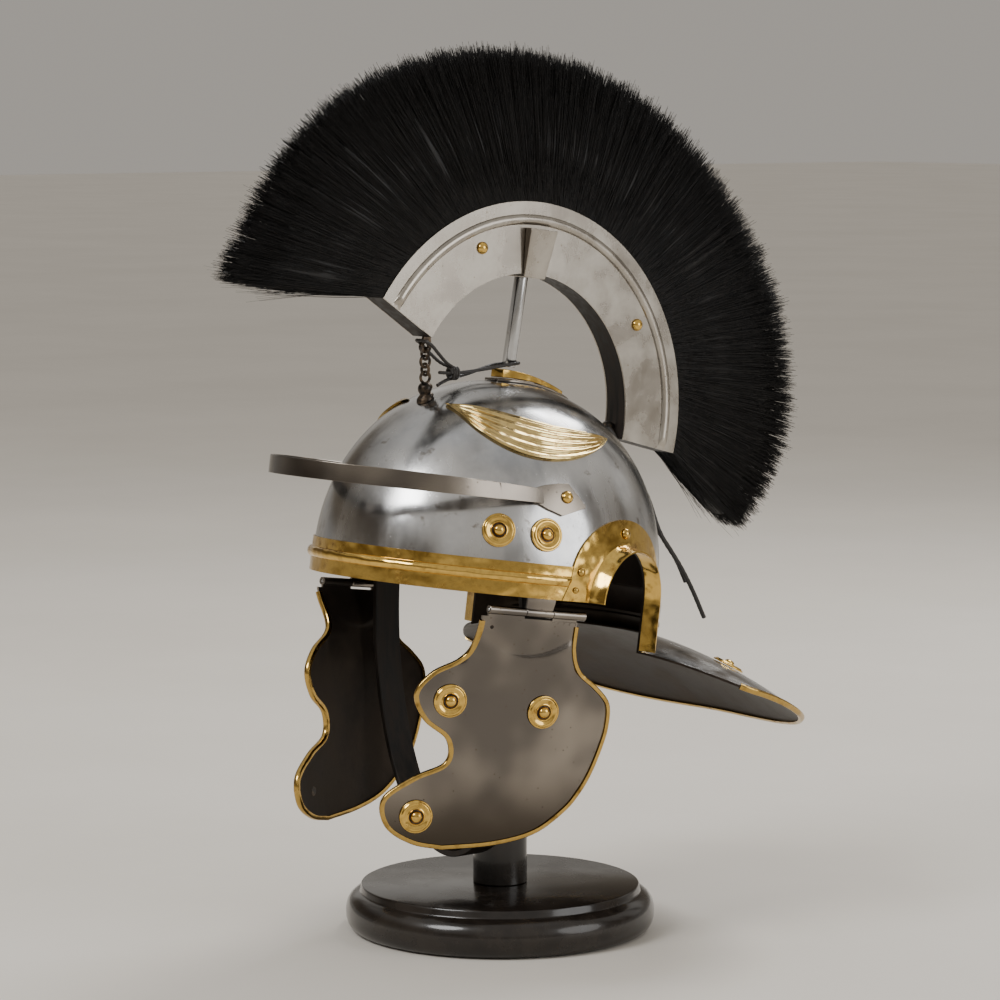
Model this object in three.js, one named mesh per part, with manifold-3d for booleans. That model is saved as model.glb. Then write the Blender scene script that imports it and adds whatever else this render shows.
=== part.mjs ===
import * as THREE from "three";
import { mergeVertices } from "three/addons/utils/BufferGeometryUtils.js";
import Module from "manifold-3d";

// A roman legionary helmet with a tall hair crest, held up from inside by a plain wooden stand.
// Millimetres, Z up. The origin is the middle of the stand's underside.
// The brow faces -Y and the wearer's left side is +X.

// Sheet, clearances and placing
const GAP = 0.3; // clearance between two pieces that touch
const STEEL = 1.5; // thickness of the steel sheet
const BRASS = 1.0; // thickness of the brass sheet
const HELMET_LIFT = 236; // the brow line above the table
const HELMET_SETBACK = 11; // the bowl's middle in front of the stand's
const HELMET_TILT = THREE.MathUtils.degToRad(8); // the brow tips up

// Stand
const BASE_RADIUS = 100;
const BASE_HEIGHT = 30;
const POST_RADIUS = 17.5;
const LOOP_FOOT = 52; // underside of the oval loop above the table
const LOOP_HALF_WIDTH = 78;
const LOOP_BAND = 19; // width of the loop's flat band
const LOOP_WALL = 4;
const LOOP_FORWARD = 34.5; // middle of the band in front of the post
const BRACKET_HEIGHT = 8;
const BRACKET_WIDTH = 20;

// Bowl and nape
const BOWL_HALF_LENGTH = 117.5;
const BOWL_HALF_WIDTH = 100;
const BOWL_HEIGHT = 120;
const BOWL_POWER = 2.09; // 2 is an ellipsoid
const BROW_DROP = 12; // the front rim below the brow line
const NAPE_START = 61; // how far back the neck guard starts
const NAPE_DROP = 32; // the neck guard's root below the brow line
const NAPE_RIDGE = 4; // how far the nape ridges stand out

// Neck guard
const GUARD_HALF_WIDTH = 143;
const GUARD_REACH = 214; // its rear edge behind the bowl's middle
const GUARD_POWER = 2.4; // squareness of its outline
const GUARD_ARCH = 26.4; // drop at its sides
const GUARD_RISE = 0.19; // slope where the guard starts
const GUARD_BEND = 79.6; // how far its rear edge is bent down from that slope
const GUARD_BOSS = { side: 88, back: 137 };

// Brow band, peak and ear guards
const BAND_TOP = 9.5;
const BEAD_HALF = 3.3;
const BEAD_OUT = 2.6;
const PEAK_REACH = BOWL_HALF_LENGTH + 12.5; // in front of its ends
const PEAK_STAND_OFF = 3.3; // the strip's ends outside the bowl's wall
const PEAK_MIDDLE = BOWL_HEIGHT * 0.4375; // height of the strip's middle above the brow line
const PEAK_DEPTH = 11;
const PEAK_START = 34; // the strip's ends are this far in front of the bowl's middle
const LUG_LENGTH = 35;
const LUG_DEPTH = 20;
const LUG_TIP = 3.4; // the lug's rear tip in front of the bowl's middle
const EAR_MIDDLE = 32.2; // middle of the ear opening behind the bowl's middle
const EAR_HALF = 29;
const EAR_SPRING = -10; // where the opening's arch starts
const EAR_RISE = 33.8;
const EAR_FLANGE = 16.5;
const EAR_LIP = 12; // how far the lip stands out
const EAR_LIP_SWEEP = THREE.MathUtils.degToRad(16);
const EAR_LIP_DROOP = 2;

// Ornaments
const LEAF_START = -61.5;
const LEAF_LENGTH = 95;
const LEAF_LOW = BOWL_HEIGHT - 46;
const LEAF_DEPTH = 28.5;
const LEAF_RELIEF = 1.2;
const BOWL_BOSS_UP = 27.4;
const BOSS_RADIUS = 10.5;
const BOSS_HEIGHT = 3.4;
const RIVET_RADIUS = 4;

// Crest
const CREST_BACK = 6.5; // centre of the crest's arc behind the bowl's middle
const CREST_UP = BOWL_HEIGHT - 18.1;
const CREST_INNER = 88;
const CREST_OUTER = 134;
const CREST_FROM = THREE.MathUtils.degToRad(-7); // rear end, from straight back toward straight up
const CREST_TO = THREE.MathUtils.degToRad(153.3); // front end
const CREST_WIDTH = 20;
const CREST_PLATE = 1.2;
const CREST_BEAD_RADIUS = 122.5;
const CREST_BEAD_HALF = 3.3;
const CREST_BEAD_OUT = 2.4;
const CREST_FOOT_FROM = -14; // the plate on the crown
const CREST_FOOT_TO = 48;
const CREST_FOOT_WIDTH = 24;
const HOLDER_FROM = -9;
const HOLDER_TO = 42;
const HOLDER_WIDTH = 12;
const HOLDER_FRONT = 6.4; // its height at the front
const HOLDER_REAR = 3;
const ROD_RADIUS = 4.5;
const ROD_LEAN = 2.4;
const BRACKET_TOP = CREST_UP + 116.6;
const BRACKET_FRONT = 9; // reach of the crest's bracket in front of the rod's top
const BRACKET_REAR = 13;
const BRACKET_OUT = 6;
const CREST_RIVET_RADIUS = 110; // of the circle that the plates' rivets stand on
const PLUME_REACH = 219; // from the arc's centre
const PLUME_WIDTH = 24;
const PLUME_LOCKS = 26;
const LOCK_NOTCH = 6;

// Ties
const EYE_RADIUS = 4.4;
const EYE_HOLE = 2.1;
const EYE_WIDTH = 2;
const FRONT_EYE = { back: -69, height: CREST_UP + 33.7 };
const REAR_EYE = { back: 88.4, height: CREST_UP - 4.3 };
const LINK_RADIUS = 3.6;
const LINK_WIRE = 0.95;
const LINK_COUNT = 3;
const STUD_RADIUS = 5.5;
const FRONT_LACE = 2.2; // diameters of the leather laces
const REAR_LACE = 3;

// Cheek guards, in the frame of their hinges
const HINGE_LENGTH = 69.7;
const HINGE_SIDE = 91.75; // middle of the hinge beside the bowl's middle
const HINGE_FRONT = 30.85;
const HINGE_DROP = 21.3;
const HINGE_TOE = THREE.MathUtils.degToRad(8.66);
const KNUCKLE_RADIUS = 2.7;
const PIN_RADIUS = 1.1;
const KNUCKLE_ENDS = [0, 0.38, 0.66, 1]; // shares of the hinge's length
const HINGE_LEAF_HEIGHT = 30;
const CHEEK_WIDTH = 138;
const CHEEK_DROP = 151.4;
const CHEEK_CURL = 22; // how far the front edge turns in
const CHEEK_LEAN = 0.11;
const EDGE_DEPTH = 3.3; // how far the brass edging reaches over a sheet
const EDGE_NOSE = 1.5;

const FINISHES = {
  steel: { color: 0xb4b6b8, metalness: 1, roughness: 0.28 },
  satin: { color: 0x9b968e, metalness: 1, roughness: 0.42 },
  iron: { color: 0x2c2a27, metalness: 0.8, roughness: 0.45 },
  brass: { color: 0xc99b3f, metalness: 1, roughness: 0.25 },
  lacquer: { color: 0x0b0908, metalness: 0, roughness: 0.18 },
  wood: { color: 0x15120f, metalness: 0, roughness: 0.6 },
  hair: { color: 0x0a0a0b, metalness: 0, roughness: 0.7 },
  leather: { color: 0x100e0d, metalness: 0, roughness: 0.55 },
};

const wasm = await Module();
wasm.setup();

const { cos, sin, sqrt, abs, min, max } = Math;
const lerp = THREE.MathUtils.lerp;
const point = (x, y, z) => new THREE.Vector3(x, y, z);

// Closed meshes

function volumeOf(geometry) {
  const at = geometry.attributes.position;
  const corner = (i) => new THREE.Vector3().fromBufferAttribute(at, geometry.index.array[i]);
  let total = 0;
  for (let i = 0; i < geometry.index.count; i += 3) {
    total += corner(i).dot(corner(i + 1).cross(corner(i + 2))) / 6;
  }
  return total;
}

// One closed mesh with shared corners, no empty faces, and its faces turned out.
function tidy(geometry) {
  const bare = new THREE.BufferGeometry();
  bare.setAttribute("position", geometry.getAttribute("position").clone());
  if (geometry.index) bare.setIndex(geometry.index.clone());
  const merged = mergeVertices(bare, 1e-3);
  const corners = merged.index.array;
  const kept = [];
  for (let i = 0; i < corners.length; i += 3) {
    const [a, b, c] = corners.slice(i, i + 3);
    if (a !== b && b !== c && a !== c) kept.push(a, b, c);
  }
  merged.setIndex(kept);
  if (volumeOf(merged) < 0) {
    for (let i = 0; i < kept.length; i += 3) [kept[i + 1], kept[i + 2]] = [kept[i + 2], kept[i + 1]];
    merged.setIndex(kept);
  }
  return merged;
}

function meshOf(points, faces) {
  const geometry = new THREE.BufferGeometry();
  const flat = points.flatMap((p) => p.toArray());
  geometry.setAttribute("position", new THREE.Float32BufferAttribute(flat, 3));
  geometry.setIndex(faces.flat());
  return tidy(geometry);
}

const mirrored = (geometry) => tidy(geometry.clone().scale(-1, 1, 1));

// A closed slab: place(u, v, layer) gives its outer grid at layer 0 and its inner grid at layer 1.
function slab(across, up, place, closes = false) {
  const columns = closes ? across : across + 1;
  const points = [];
  for (const layer of [0, 1]) {
    for (let i = 0; i < columns; i++) {
      for (let j = 0; j <= up; j++) points.push(place(i / across, j / up, layer));
    }
  }
  const at = (layer, i, j) => (layer * columns + (i % columns)) * (up + 1) + j;
  const faces = [];
  const quad = (a, b, c, d) => faces.push([a, b, c], [a, c, d]);
  for (let i = 0; i < across; i++) {
    for (let j = 0; j < up; j++) {
      quad(at(0, i, j), at(0, i + 1, j), at(0, i + 1, j + 1), at(0, i, j + 1));
      quad(at(1, i, j), at(1, i, j + 1), at(1, i + 1, j + 1), at(1, i + 1, j));
    }
    quad(at(0, i, 0), at(1, i, 0), at(1, i + 1, 0), at(0, i + 1, 0));
    quad(at(0, i, up), at(0, i + 1, up), at(1, i + 1, up), at(1, i, up));
  }
  for (let j = 0; j < up && !closes; j++) {
    quad(at(0, 0, j), at(0, 0, j + 1), at(1, 0, j + 1), at(1, 0, j));
    quad(at(0, across, j), at(1, across, j), at(1, across, j + 1), at(0, across, j + 1));
  }
  return meshOf(points, faces);
}

// A closed bar through rings of points; `section` is the ring's flat shape and caps both ends.
function bar(rings, section) {
  const size = section.length;
  const faces = [];
  for (let i = 0; i + 1 < rings.length; i++) {
    for (let j = 0; j < size; j++) {
      const next = (j + 1) % size;
      const [a, b] = [i * size + j, i * size + next];
      faces.push([a, b, b + size], [a, b + size, a + size]);
    }
  }
  const last = (rings.length - 1) * size;
  const flat = section.map(([x, y]) => new THREE.Vector2(x, y));
  const clockwise = THREE.ShapeUtils.isClockWise(flat);
  for (const [a, b, c] of THREE.ShapeUtils.triangulateShape(flat, [])) {
    const [p, q] = clockwise ? [b, c] : [c, b];
    faces.push([a, p, q], [last + a, last + q, last + p]);
  }
  return meshOf(rings.flat(), faces);
}

function solidOf(geometry) {
  const shape = tidy(geometry);
  return new wasm.Manifold(
    new wasm.Mesh({
      numProp: 3,
      vertProperties: shape.attributes.position.array,
      triVerts: new Uint32Array(shape.index.array),
    }),
  );
}

function geometryOf(solid) {
  const mesh = solid.getMesh();
  const geometry = new THREE.BufferGeometry();
  geometry.setAttribute("position", new THREE.BufferAttribute(mesh.vertProperties, 3));
  geometry.setIndex(new THREE.BufferAttribute(mesh.triVerts, 1));
  return geometry;
}

const joined = (...pieces) => geometryOf(pieces.map(solidOf).reduce((a, b) => a.add(b)));
const cut = (whole, tool) => geometryOf(solidOf(whole).subtract(solidOf(tool)));

// A turned piece about Z from rows of [radius, height].
function turned(profile, sides) {
  const rows = profile.map(([radius, height]) => new THREE.Vector2(radius, height));
  return tidy(new THREE.LatheGeometry(rows, sides).rotateX(Math.PI / 2));
}

// A shape drawn in the Y-Z plane, made `width` thick about x = 0.
function upright(shape, width, curveSegments = 12) {
  const geometry = new THREE.ExtrudeGeometry(shape, { depth: width, bevelEnabled: false, curveSegments });
  geometry.translate(0, 0, -width / 2);
  return geometry.applyMatrix4(
    new THREE.Matrix4().makeBasis(point(0, 1, 0), point(0, 0, 1), point(1, 0, 0)),
  );
}

// A round cord along a smooth curve through a list of [x, y, z] points.
function cord(route, diameter, steps) {
  const curve = new THREE.CatmullRomCurve3(route.map(([x, y, z]) => point(x, y, z)), false, "centripetal");
  const circle = new THREE.Shape();
  circle.absarc(0, 0, diameter / 2, 0, Math.PI * 2);
  return new THREE.ExtrudeGeometry(circle, { steps, curveSegments: 3, extrudePath: curve });
}

const part = new THREE.Group();
const helmet = new THREE.Group();
helmet.position.set(0, -HELMET_SETBACK, HELMET_LIFT);
helmet.rotation.x = -HELMET_TILT;
part.add(helmet);

function add(parent, name, geometry, finish) {
  const mesh = new THREE.Mesh(geometry, new THREE.MeshStandardMaterial(FINISHES[finish]));
  mesh.name = name;
  parent.add(mesh);
  return mesh;
}

function addPair(parent, name, geometry, finish) {
  add(parent, name + "_left", geometry, finish);
  add(parent, name + "_right", mirrored(geometry), finish);
}

// Surfaces of the bowl, in the helmet's frame; `out` pushes a point off the outer face

// How far the bowl reaches at a height, as a share of its reach at the brow line.
const reachAt = (height, out = 0) =>
  (1 - min(max(height, 0) / (BOWL_HEIGHT + out), 1) ** BOWL_POWER) ** (1 / BOWL_POWER);

// `around` runs from the brow (0) past the left ear (a quarter turn) to the nape.
function bowlPoint(around, height, out = 0) {
  const reach = reachAt(height, out);
  return point(
    (BOWL_HALF_WIDTH + out) * reach * sin(around),
    -(BOWL_HALF_LENGTH + out) * reach * cos(around),
    height,
  );
}

const aroundAt = (back, height) =>
  Math.acos(min(max(-back / (BOWL_HALF_LENGTH * reachAt(height)), -1), 1));

// The left side's point at a distance behind the middle.
const seat = (back, height, out = 0) => bowlPoint(aroundAt(back, height), height, out);

// The crown's point over a place in plan.
function crown(side, back, out = 0) {
  const plan = sqrt((side / (BOWL_HALF_WIDTH + out)) ** 2 + (back / (BOWL_HALF_LENGTH + out)) ** 2);
  return point(side, back, (BOWL_HEIGHT + out) * (1 - plan ** BOWL_POWER) ** (1 / BOWL_POWER));
}

function bowlNormal(at) {
  const flat = point(at.x / BOWL_HALF_WIDTH ** 2, at.y / BOWL_HALF_LENGTH ** 2, 0);
  const plan = sqrt((at.x / BOWL_HALF_WIDTH) ** 2 + (at.y / BOWL_HALF_LENGTH) ** 2);
  flat.multiplyScalar(plan ** (BOWL_POWER - 2));
  flat.z = (max(at.z, 0) / BOWL_HEIGHT) ** (BOWL_POWER - 1) / BOWL_HEIGHT;
  return flat.normalize();
}

const guardHeight = (side, back) => {
  const behind = back - NAPE_START;
  const bend = GUARD_BEND * (behind / (GUARD_REACH - NAPE_START)) ** 2;
  return -NAPE_DROP + GUARD_RISE * behind - bend - GUARD_ARCH * (side / GUARD_HALF_WIDTH) ** 2;
};

// A turned fastener that stands on a point, with its axis along a direction.
function stoodOn(geometry, at, direction) {
  const turn = new THREE.Quaternion().setFromUnitVectors(point(0, 0, 1), direction);
  return geometry.clone().applyQuaternion(turn).translate(at.x, at.y, at.z);
}

const rivet = (radius) =>
  turned([[0, 0], [1, 0], [1, 0.2], [0.7, 0.62], [0, 0.8]].map(([r, h]) => [r * radius, h * radius]), 8);

const boss = () =>
  turned(
    [
      [0, 0],
      [BOSS_RADIUS, 0],
      [BOSS_RADIUS, BOSS_HEIGHT * 0.3],
      [BOSS_RADIUS * 0.85, BOSS_HEIGHT * 0.55],
      [BOSS_RADIUS * 0.36, BOSS_HEIGHT * 0.28],
      [BOSS_RADIUS * 0.26, BOSS_HEIGHT * 0.8],
      [0, BOSS_HEIGHT],
    ],
    10,
  );

// Stand

// The height of the tilted bowl's surface over a place on the table.
function crownOver(x, y, out) {
  let height = HELMET_LIFT + BOWL_HEIGHT;
  for (let round = 0; round < 20; round++) {
    const back = cos(HELMET_TILT) * (y + HELMET_SETBACK) - sin(HELMET_TILT) * (height - HELMET_LIFT);
    const surface = crown(x, back, out).z;
    height = HELMET_LIFT + (surface - sin(HELMET_TILT) * (y + HELMET_SETBACK)) / cos(HELMET_TILT);
  }
  return height;
}

function makeStand() {
  const foot = [[0, 0], [0.93, 0], [0.975, 0.1], [1, 0.3], [1, 0.5]];
  const shoulder = [[0.975, 0.7], [0.925, 0.82], [0.904, 0.86], [0.904, 1], [0, 1]];
  const profile = [...foot, ...shoulder].map(([r, h]) => [r * BASE_RADIUS, h * BASE_HEIGHT]);
  add(part, "stand_base", turned(profile, 30), "lacquer");

  const front = LOOP_FORWARD + LOOP_BAND / 2;
  const rear = LOOP_FORWARD - LOOP_BAND / 2;
  const ceiling = min(crownOver(0, -front, -STEEL), crownOver(0, -rear, -STEEL)) - 3 * GAP;
  const half = (ceiling - LOOP_FOOT) / 2;
  const oval = new THREE.Shape();
  oval.absellipse(0, LOOP_FOOT + half, LOOP_HALF_WIDTH, half, 0, Math.PI * 2);
  const hole = new THREE.Path();
  const inside = LOOP_HALF_WIDTH - LOOP_WALL;
  hole.absellipse(0, LOOP_FOOT + half, inside, half - LOOP_WALL, 0, Math.PI * 2);
  oval.holes.push(hole);
  const loop = new THREE.ExtrudeGeometry(oval, { depth: LOOP_BAND, bevelEnabled: false, curveSegments: 22 });
  add(part, "stand_loop", loop.rotateX(Math.PI / 2).translate(0, -rear, 0), "wood");

  const rise = half * (1 - sqrt(1 - (BRACKET_WIDTH / 2 / inside) ** 2)); // the loop's curve under the bracket
  const top = LOOP_FOOT + LOOP_WALL + rise + GAP + BRACKET_HEIGHT;
  const bottom = BASE_HEIGHT + GAP;
  const post = turned([[0, bottom], [POST_RADIUS, bottom], [POST_RADIUS, top], [0, top]], 20);
  const bracket = new THREE.BoxGeometry(BRACKET_WIDTH, front, BRACKET_HEIGHT);
  bracket.translate(0, -front / 2, top - BRACKET_HEIGHT / 2);
  add(part, "stand_post", joined(post, bracket), "lacquer");
}

// Bowl, neck guard

function rimAt(around) {
  const at = bowlPoint(around, 0);
  return at.y < EAR_MIDDLE ? -BROW_DROP : guardHeight(at.x, at.y) - STEEL;
}

function nape(height, half) {
  const from = aroundAt(EAR_MIDDLE + EAR_HALF + EAR_FLANGE + 2, 0);
  const section = [[-0.5, 1], [0, 0.9], [0.9, 0.45], [0.9, -0.45], [0, -0.9], [-0.5, -1]];
  const steps = 16;
  const rings = [];
  for (let i = 0; i <= steps; i++) {
    const around = lerp(from, 2 * Math.PI - from, i / steps);
    const swell = i === 0 || i === steps ? 0.15 : 1;
    const wall = bowlPoint(around, 0);
    const drop = guardHeight(wall.x, wall.y) - guardHeight(0, BOWL_HALF_LENGTH);
    rings.push(
      section.map(([out, up]) =>
        bowlPoint(around, height + up * half * swell + drop, max(out, -0.1) * NAPE_RIDGE * swell),
      ),
    );
  }
  return bar(rings, section);
}

function makeBowl() {
  const levels = 9;
  const shell = slab(
    48,
    levels,
    (u, v, layer) => {
      const around = u * 2 * Math.PI;
      const out = layer ? -STEEL : 0;
      if (v === 0) return bowlPoint(around, rimAt(around), out);
      const lift = ((v * levels - 1) / (levels - 1)) * (Math.PI / 2);
      return bowlPoint(around, (BOWL_HEIGHT + out) * sin(lift) ** (2 / BOWL_POWER), out);
    },
    true,
  );
  const arch = new THREE.Shape();
  arch.moveTo(EAR_MIDDLE - EAR_HALF, -BOWL_HEIGHT);
  arch.lineTo(EAR_MIDDLE + EAR_HALF, -BOWL_HEIGHT);
  arch.lineTo(EAR_MIDDLE + EAR_HALF, EAR_SPRING);
  arch.absellipse(EAR_MIDDLE, EAR_SPRING, EAR_HALF, EAR_RISE, 0, Math.PI, false);
  const opening = upright(arch, BOWL_HALF_WIDTH * 2.4, 10);
  const upper = nape(-NAPE_DROP * 0.44, 10);
  const lower = nape(-NAPE_DROP * 0.84, 5);
  add(helmet, "bowl", cut(joined(shell, upper, lower), opening), "steel");
}

// The neck guard's outline from the left leg round to the right: side and distance back.
function guardEdge(share) {
  const widest = lerp(NAPE_START, GUARD_REACH, 0.35);
  const flare = 0.26; // share of the half outline from the leg to the widest place
  const half = 1 - abs(2 * share - 1);
  const flip = share <= 0.5 ? 1 : -1;
  const leg = bowlPoint(aroundAt(NAPE_START, 0), 0).x;
  if (half < flare) {
    const t = half / flare;
    const side = lerp(leg, GUARD_HALF_WIDTH, sin((t * Math.PI) / 2));
    return [flip * side, lerp(NAPE_START, widest, t)];
  }
  const turn = (((half - flare) / (1 - flare)) * Math.PI) / 2;
  const side = GUARD_HALF_WIDTH * max(cos(turn), 0) ** (2 / GUARD_POWER);
  return [flip * side, widest + (GUARD_REACH - widest) * sin(turn) ** (2 / GUARD_POWER)];
}

function guardPoint(share, reach, out) {
  const from = aroundAt(NAPE_START, 0);
  const root = bowlPoint(lerp(from, 2 * Math.PI - from, share), 0, 2 * GAP);
  const [side, back] = guardEdge(share);
  const x = lerp(root.x, side, reach);
  const y = lerp(root.y, back, reach);
  return point(x, y, guardHeight(x, y)).addScaledVector(guardNormal(x, y), out);
}

// A folded brass edge: a U-shaped section that holds the rim of a sheet.
function edging(rim, sheet) {
  const slot = sheet / 2 + GAP;
  const face = slot + BRASS * 0.8;
  const section = [
    [-EDGE_DEPTH, slot],
    [-EDGE_DEPTH, face],
    [GAP, face],
    [EDGE_NOSE, 0],
    [GAP, -face],
    [-EDGE_DEPTH, -face],
    [-EDGE_DEPTH, -slot],
    [GAP, -slot],
    [GAP, slot],
  ];
  const rings = rim.map(({ at, away, normal }) =>
    section.map(([reach, lift]) => at.clone().addScaledVector(away, reach).addScaledVector(normal, lift)),
  );
  return bar(rings, section);
}

// A rim that `edging` can follow, from points on the sheet's middle and the sheet's normals.
function rimOf(points, normals) {
  return points.map((at, i) => {
    const before = points[max(i - 1, 0)];
    const after = points[min(i + 1, points.length - 1)];
    const normal = normals[i];
    const away = after.clone().sub(before).cross(normal).normalize();
    return { at, away, normal };
  });
}

function guardNormal(side, back) {
  const tilt = (guardHeight(side + 1, back) - guardHeight(side - 1, back)) / 2;
  const fall = (guardHeight(side, back + 1) - guardHeight(side, back - 1)) / 2;
  return point(-tilt, -fall, 1).normalize();
}

function makeNeckGuard() {
  const steps = 30;
  const plate = slab(steps, 4, (u, v, layer) => guardPoint(u, v, layer ? -STEEL : 0));
  add(helmet, "neck_guard", plate, "steel");

  const points = [];
  for (let i = 3; i < steps - 2; i++) points.push(guardPoint(i / steps, 1, -STEEL / 2));
  const rim = rimOf(points, points.map((at) => guardNormal(at.x, at.y)));
  add(helmet, "neck_guard_edging", edging(rim, STEEL), "brass");

  const { side, back } = GUARD_BOSS;
  const foot = point(side, back, guardHeight(side, back)).addScaledVector(guardNormal(side, back), GAP);
  addPair(helmet, "neck_guard_boss", stoodOn(boss(), foot, guardNormal(side, back)), "brass");
}

// Brow band, peak, ear guards

// The front edge of an ear guard's flange, which the brow band stops short of.
function flangeFront(height) {
  const spring = EAR_SPRING + EAR_FLANGE * 0.65;
  const half = EAR_HALF + EAR_FLANGE;
  if (height < spring) return EAR_MIDDLE - half - (spring - height) * 0.4;
  const rise = EAR_RISE + EAR_FLANGE * 0.39;
  return EAR_MIDDLE - half * sqrt(1 - ((height - spring) / rise) ** 2);
}

function makeBrowBand() {
  const [back, front] = [GAP, GAP + BRASS];
  const section = [
    [back, -BROW_DROP],
    [front, -BROW_DROP],
    [front, -BEAD_HALF],
    [front + BEAD_OUT * 0.7, -BEAD_HALF * 0.7],
    [front + BEAD_OUT, 0],
    [front + BEAD_OUT * 0.7, BEAD_HALF * 0.7],
    [front, BEAD_HALF],
    [front, BAND_TOP],
    [back, BAND_TOP],
  ];
  const steps = 40;
  const rings = [];
  for (let i = 0; i <= steps; i++) {
    const turn = (2 * i) / steps - 1;
    rings.push(
      section.map(([out, height]) => {
        const end = aroundAt(flangeFront(height) - 2 * GAP, height);
        return bowlPoint(turn * end, height, out);
      }),
    );
  }
  add(helmet, "brow_band", bar(rings, section), "brass");
}

function makePeak() {
  const steps = 30;
  const halfWidth = seat(-PEAK_START, PEAK_MIDDLE).x + PEAK_STAND_OFF;
  const rings = [];
  for (let i = 0; i <= steps; i++) {
    const turn = (2 * i) / steps - 1;
    const half = (PEAK_DEPTH / 2) * (1 - 0.22 * turn ** 4);
    const middle = PEAK_MIDDLE - 1.5 * turn ** 4;
    const lean = 0.34 * turn ** 4; // the ends lie along the bowl's wall
    const corner = (inward, up) =>
      point(
        (halfWidth - inward - lean * up * half) * sin((turn * Math.PI) / 2),
        -PEAK_START - (PEAK_REACH - inward) * cos((turn * Math.PI) / 2),
        middle + up * half,
      );
    rings.push([corner(0, -1), corner(0, 1), corner(STEEL, 1), corner(STEEL, -1)]);
  }
  const strip = bar(rings, [[0, 0], [0, 1], [1, 1], [1, 0]]);
  // Shares of the lug's length from its tip forward, and of its depth below and above the strip's middle.
  const outline = [
    { forward: 1, low: -0.28, high: 0.13 },
    { forward: 0.78, low: -0.46, high: 0.27 },
    { forward: 0.5, low: -0.62, high: 0.36 },
    { forward: 0.31, low: -0.5, high: 0.38 },
    { forward: 0, low: -0.32, high: -0.26 },
  ];
  const lug = slab(outline.length - 1, 2, (u, v, layer) => {
    const row = outline[Math.round(u * (outline.length - 1))];
    const height = PEAK_MIDDLE + LUG_DEPTH * lerp(row.low, row.high, v);
    return seat(-LUG_TIP - row.forward * LUG_LENGTH, height, layer ? GAP : GAP + STEEL);
  });
  add(helmet, "peak", joined(strip, lug, mirrored(lug)), "satin");

  const at = seat(-LUG_TIP - 0.39 * LUG_LENGTH, PEAK_MIDDLE - 0.075 * LUG_DEPTH);
  const normal = bowlNormal(at);
  const foot = at.addScaledVector(normal, 2 * GAP + STEEL);
  addPair(helmet, "peak_rivet", stoodOn(rivet(RIVET_RADIUS), foot, normal), "brass");
}

function makeEarGuards() {
  const half = EAR_HALF + EAR_FLANGE;
  const rise = EAR_RISE + EAR_FLANGE * 0.39;
  const spring = EAR_SPRING + EAR_FLANGE * 0.65;
  const rearDrop = (back) => guardHeight(seat(back, 0).x, back) + GAP;
  const stations = [];
  stations.push({ inner: [EAR_MIDDLE - EAR_HALF, -BROW_DROP], outer: [flangeFront(-BROW_DROP), -BROW_DROP] });
  const arcs = 18;
  for (let i = 0; i <= arcs; i++) {
    const turn = Math.PI * (1 - i / arcs);
    stations.push({
      inner: [EAR_MIDDLE + EAR_HALF * cos(turn), EAR_SPRING + EAR_RISE * sin(turn)],
      outer: [EAR_MIDDLE + half * cos(turn), spring + rise * sin(turn)],
    });
  }
  stations.push({
    inner: [EAR_MIDDLE + EAR_HALF, rearDrop(EAR_MIDDLE + EAR_HALF)],
    outer: [EAR_MIDDLE + half, rearDrop(EAR_MIDDLE + half)],
  });
  const lip = point(cos(EAR_LIP_SWEEP), sin(EAR_LIP_SWEEP), 0).multiplyScalar(EAR_LIP);
  const rings = stations.map(({ inner, outer }, i) => {
    const share = BRASS / Math.hypot(outer[0] - inner[0], outer[1] - inner[1]);
    const between = (t, out) => seat(lerp(inner[0], outer[0], t), lerp(inner[1], outer[1], t), out);
    const droop = EAR_LIP_DROOP * sin((Math.PI * i) / (stations.length - 1));
    const tip = lip.clone().setZ(-droop);
    return [
      between(1, GAP),
      between(1, GAP + BRASS),
      between(0.5, GAP + BRASS),
      between(share, GAP + BRASS),
      between(share, GAP).add(tip),
      between(0, GAP).add(tip),
      between(0, GAP),
      between(0.5, GAP),
    ];
  });
  const section = [[16, 0], [16, 1], [8, 1], [1, 1], [1, 12], [0, 12], [0, 0], [8, 0]];
  addPair(helmet, "ear_guard", bar(rings, section), "brass");

  const rivets = [
    { name: "ear_rivet_top", back: 31.6, height: 32, size: 0.85 },
    { name: "ear_rivet_front", back: -6.5, height: 6.5, size: 0.65 },
    { name: "ear_rivet_low", back: -9.5, height: -5, size: 0.5 },
  ];
  for (const { name, back, height, size } of rivets) {
    const at = seat(back, height);
    const normal = bowlNormal(at);
    const foot = at.clone().addScaledVector(normal, 2 * GAP + BRASS);
    addPair(helmet, name, stoodOn(rivet(RIVET_RADIUS * size), foot, normal), "brass");
  }
}

// Ornaments on the bowl

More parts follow.
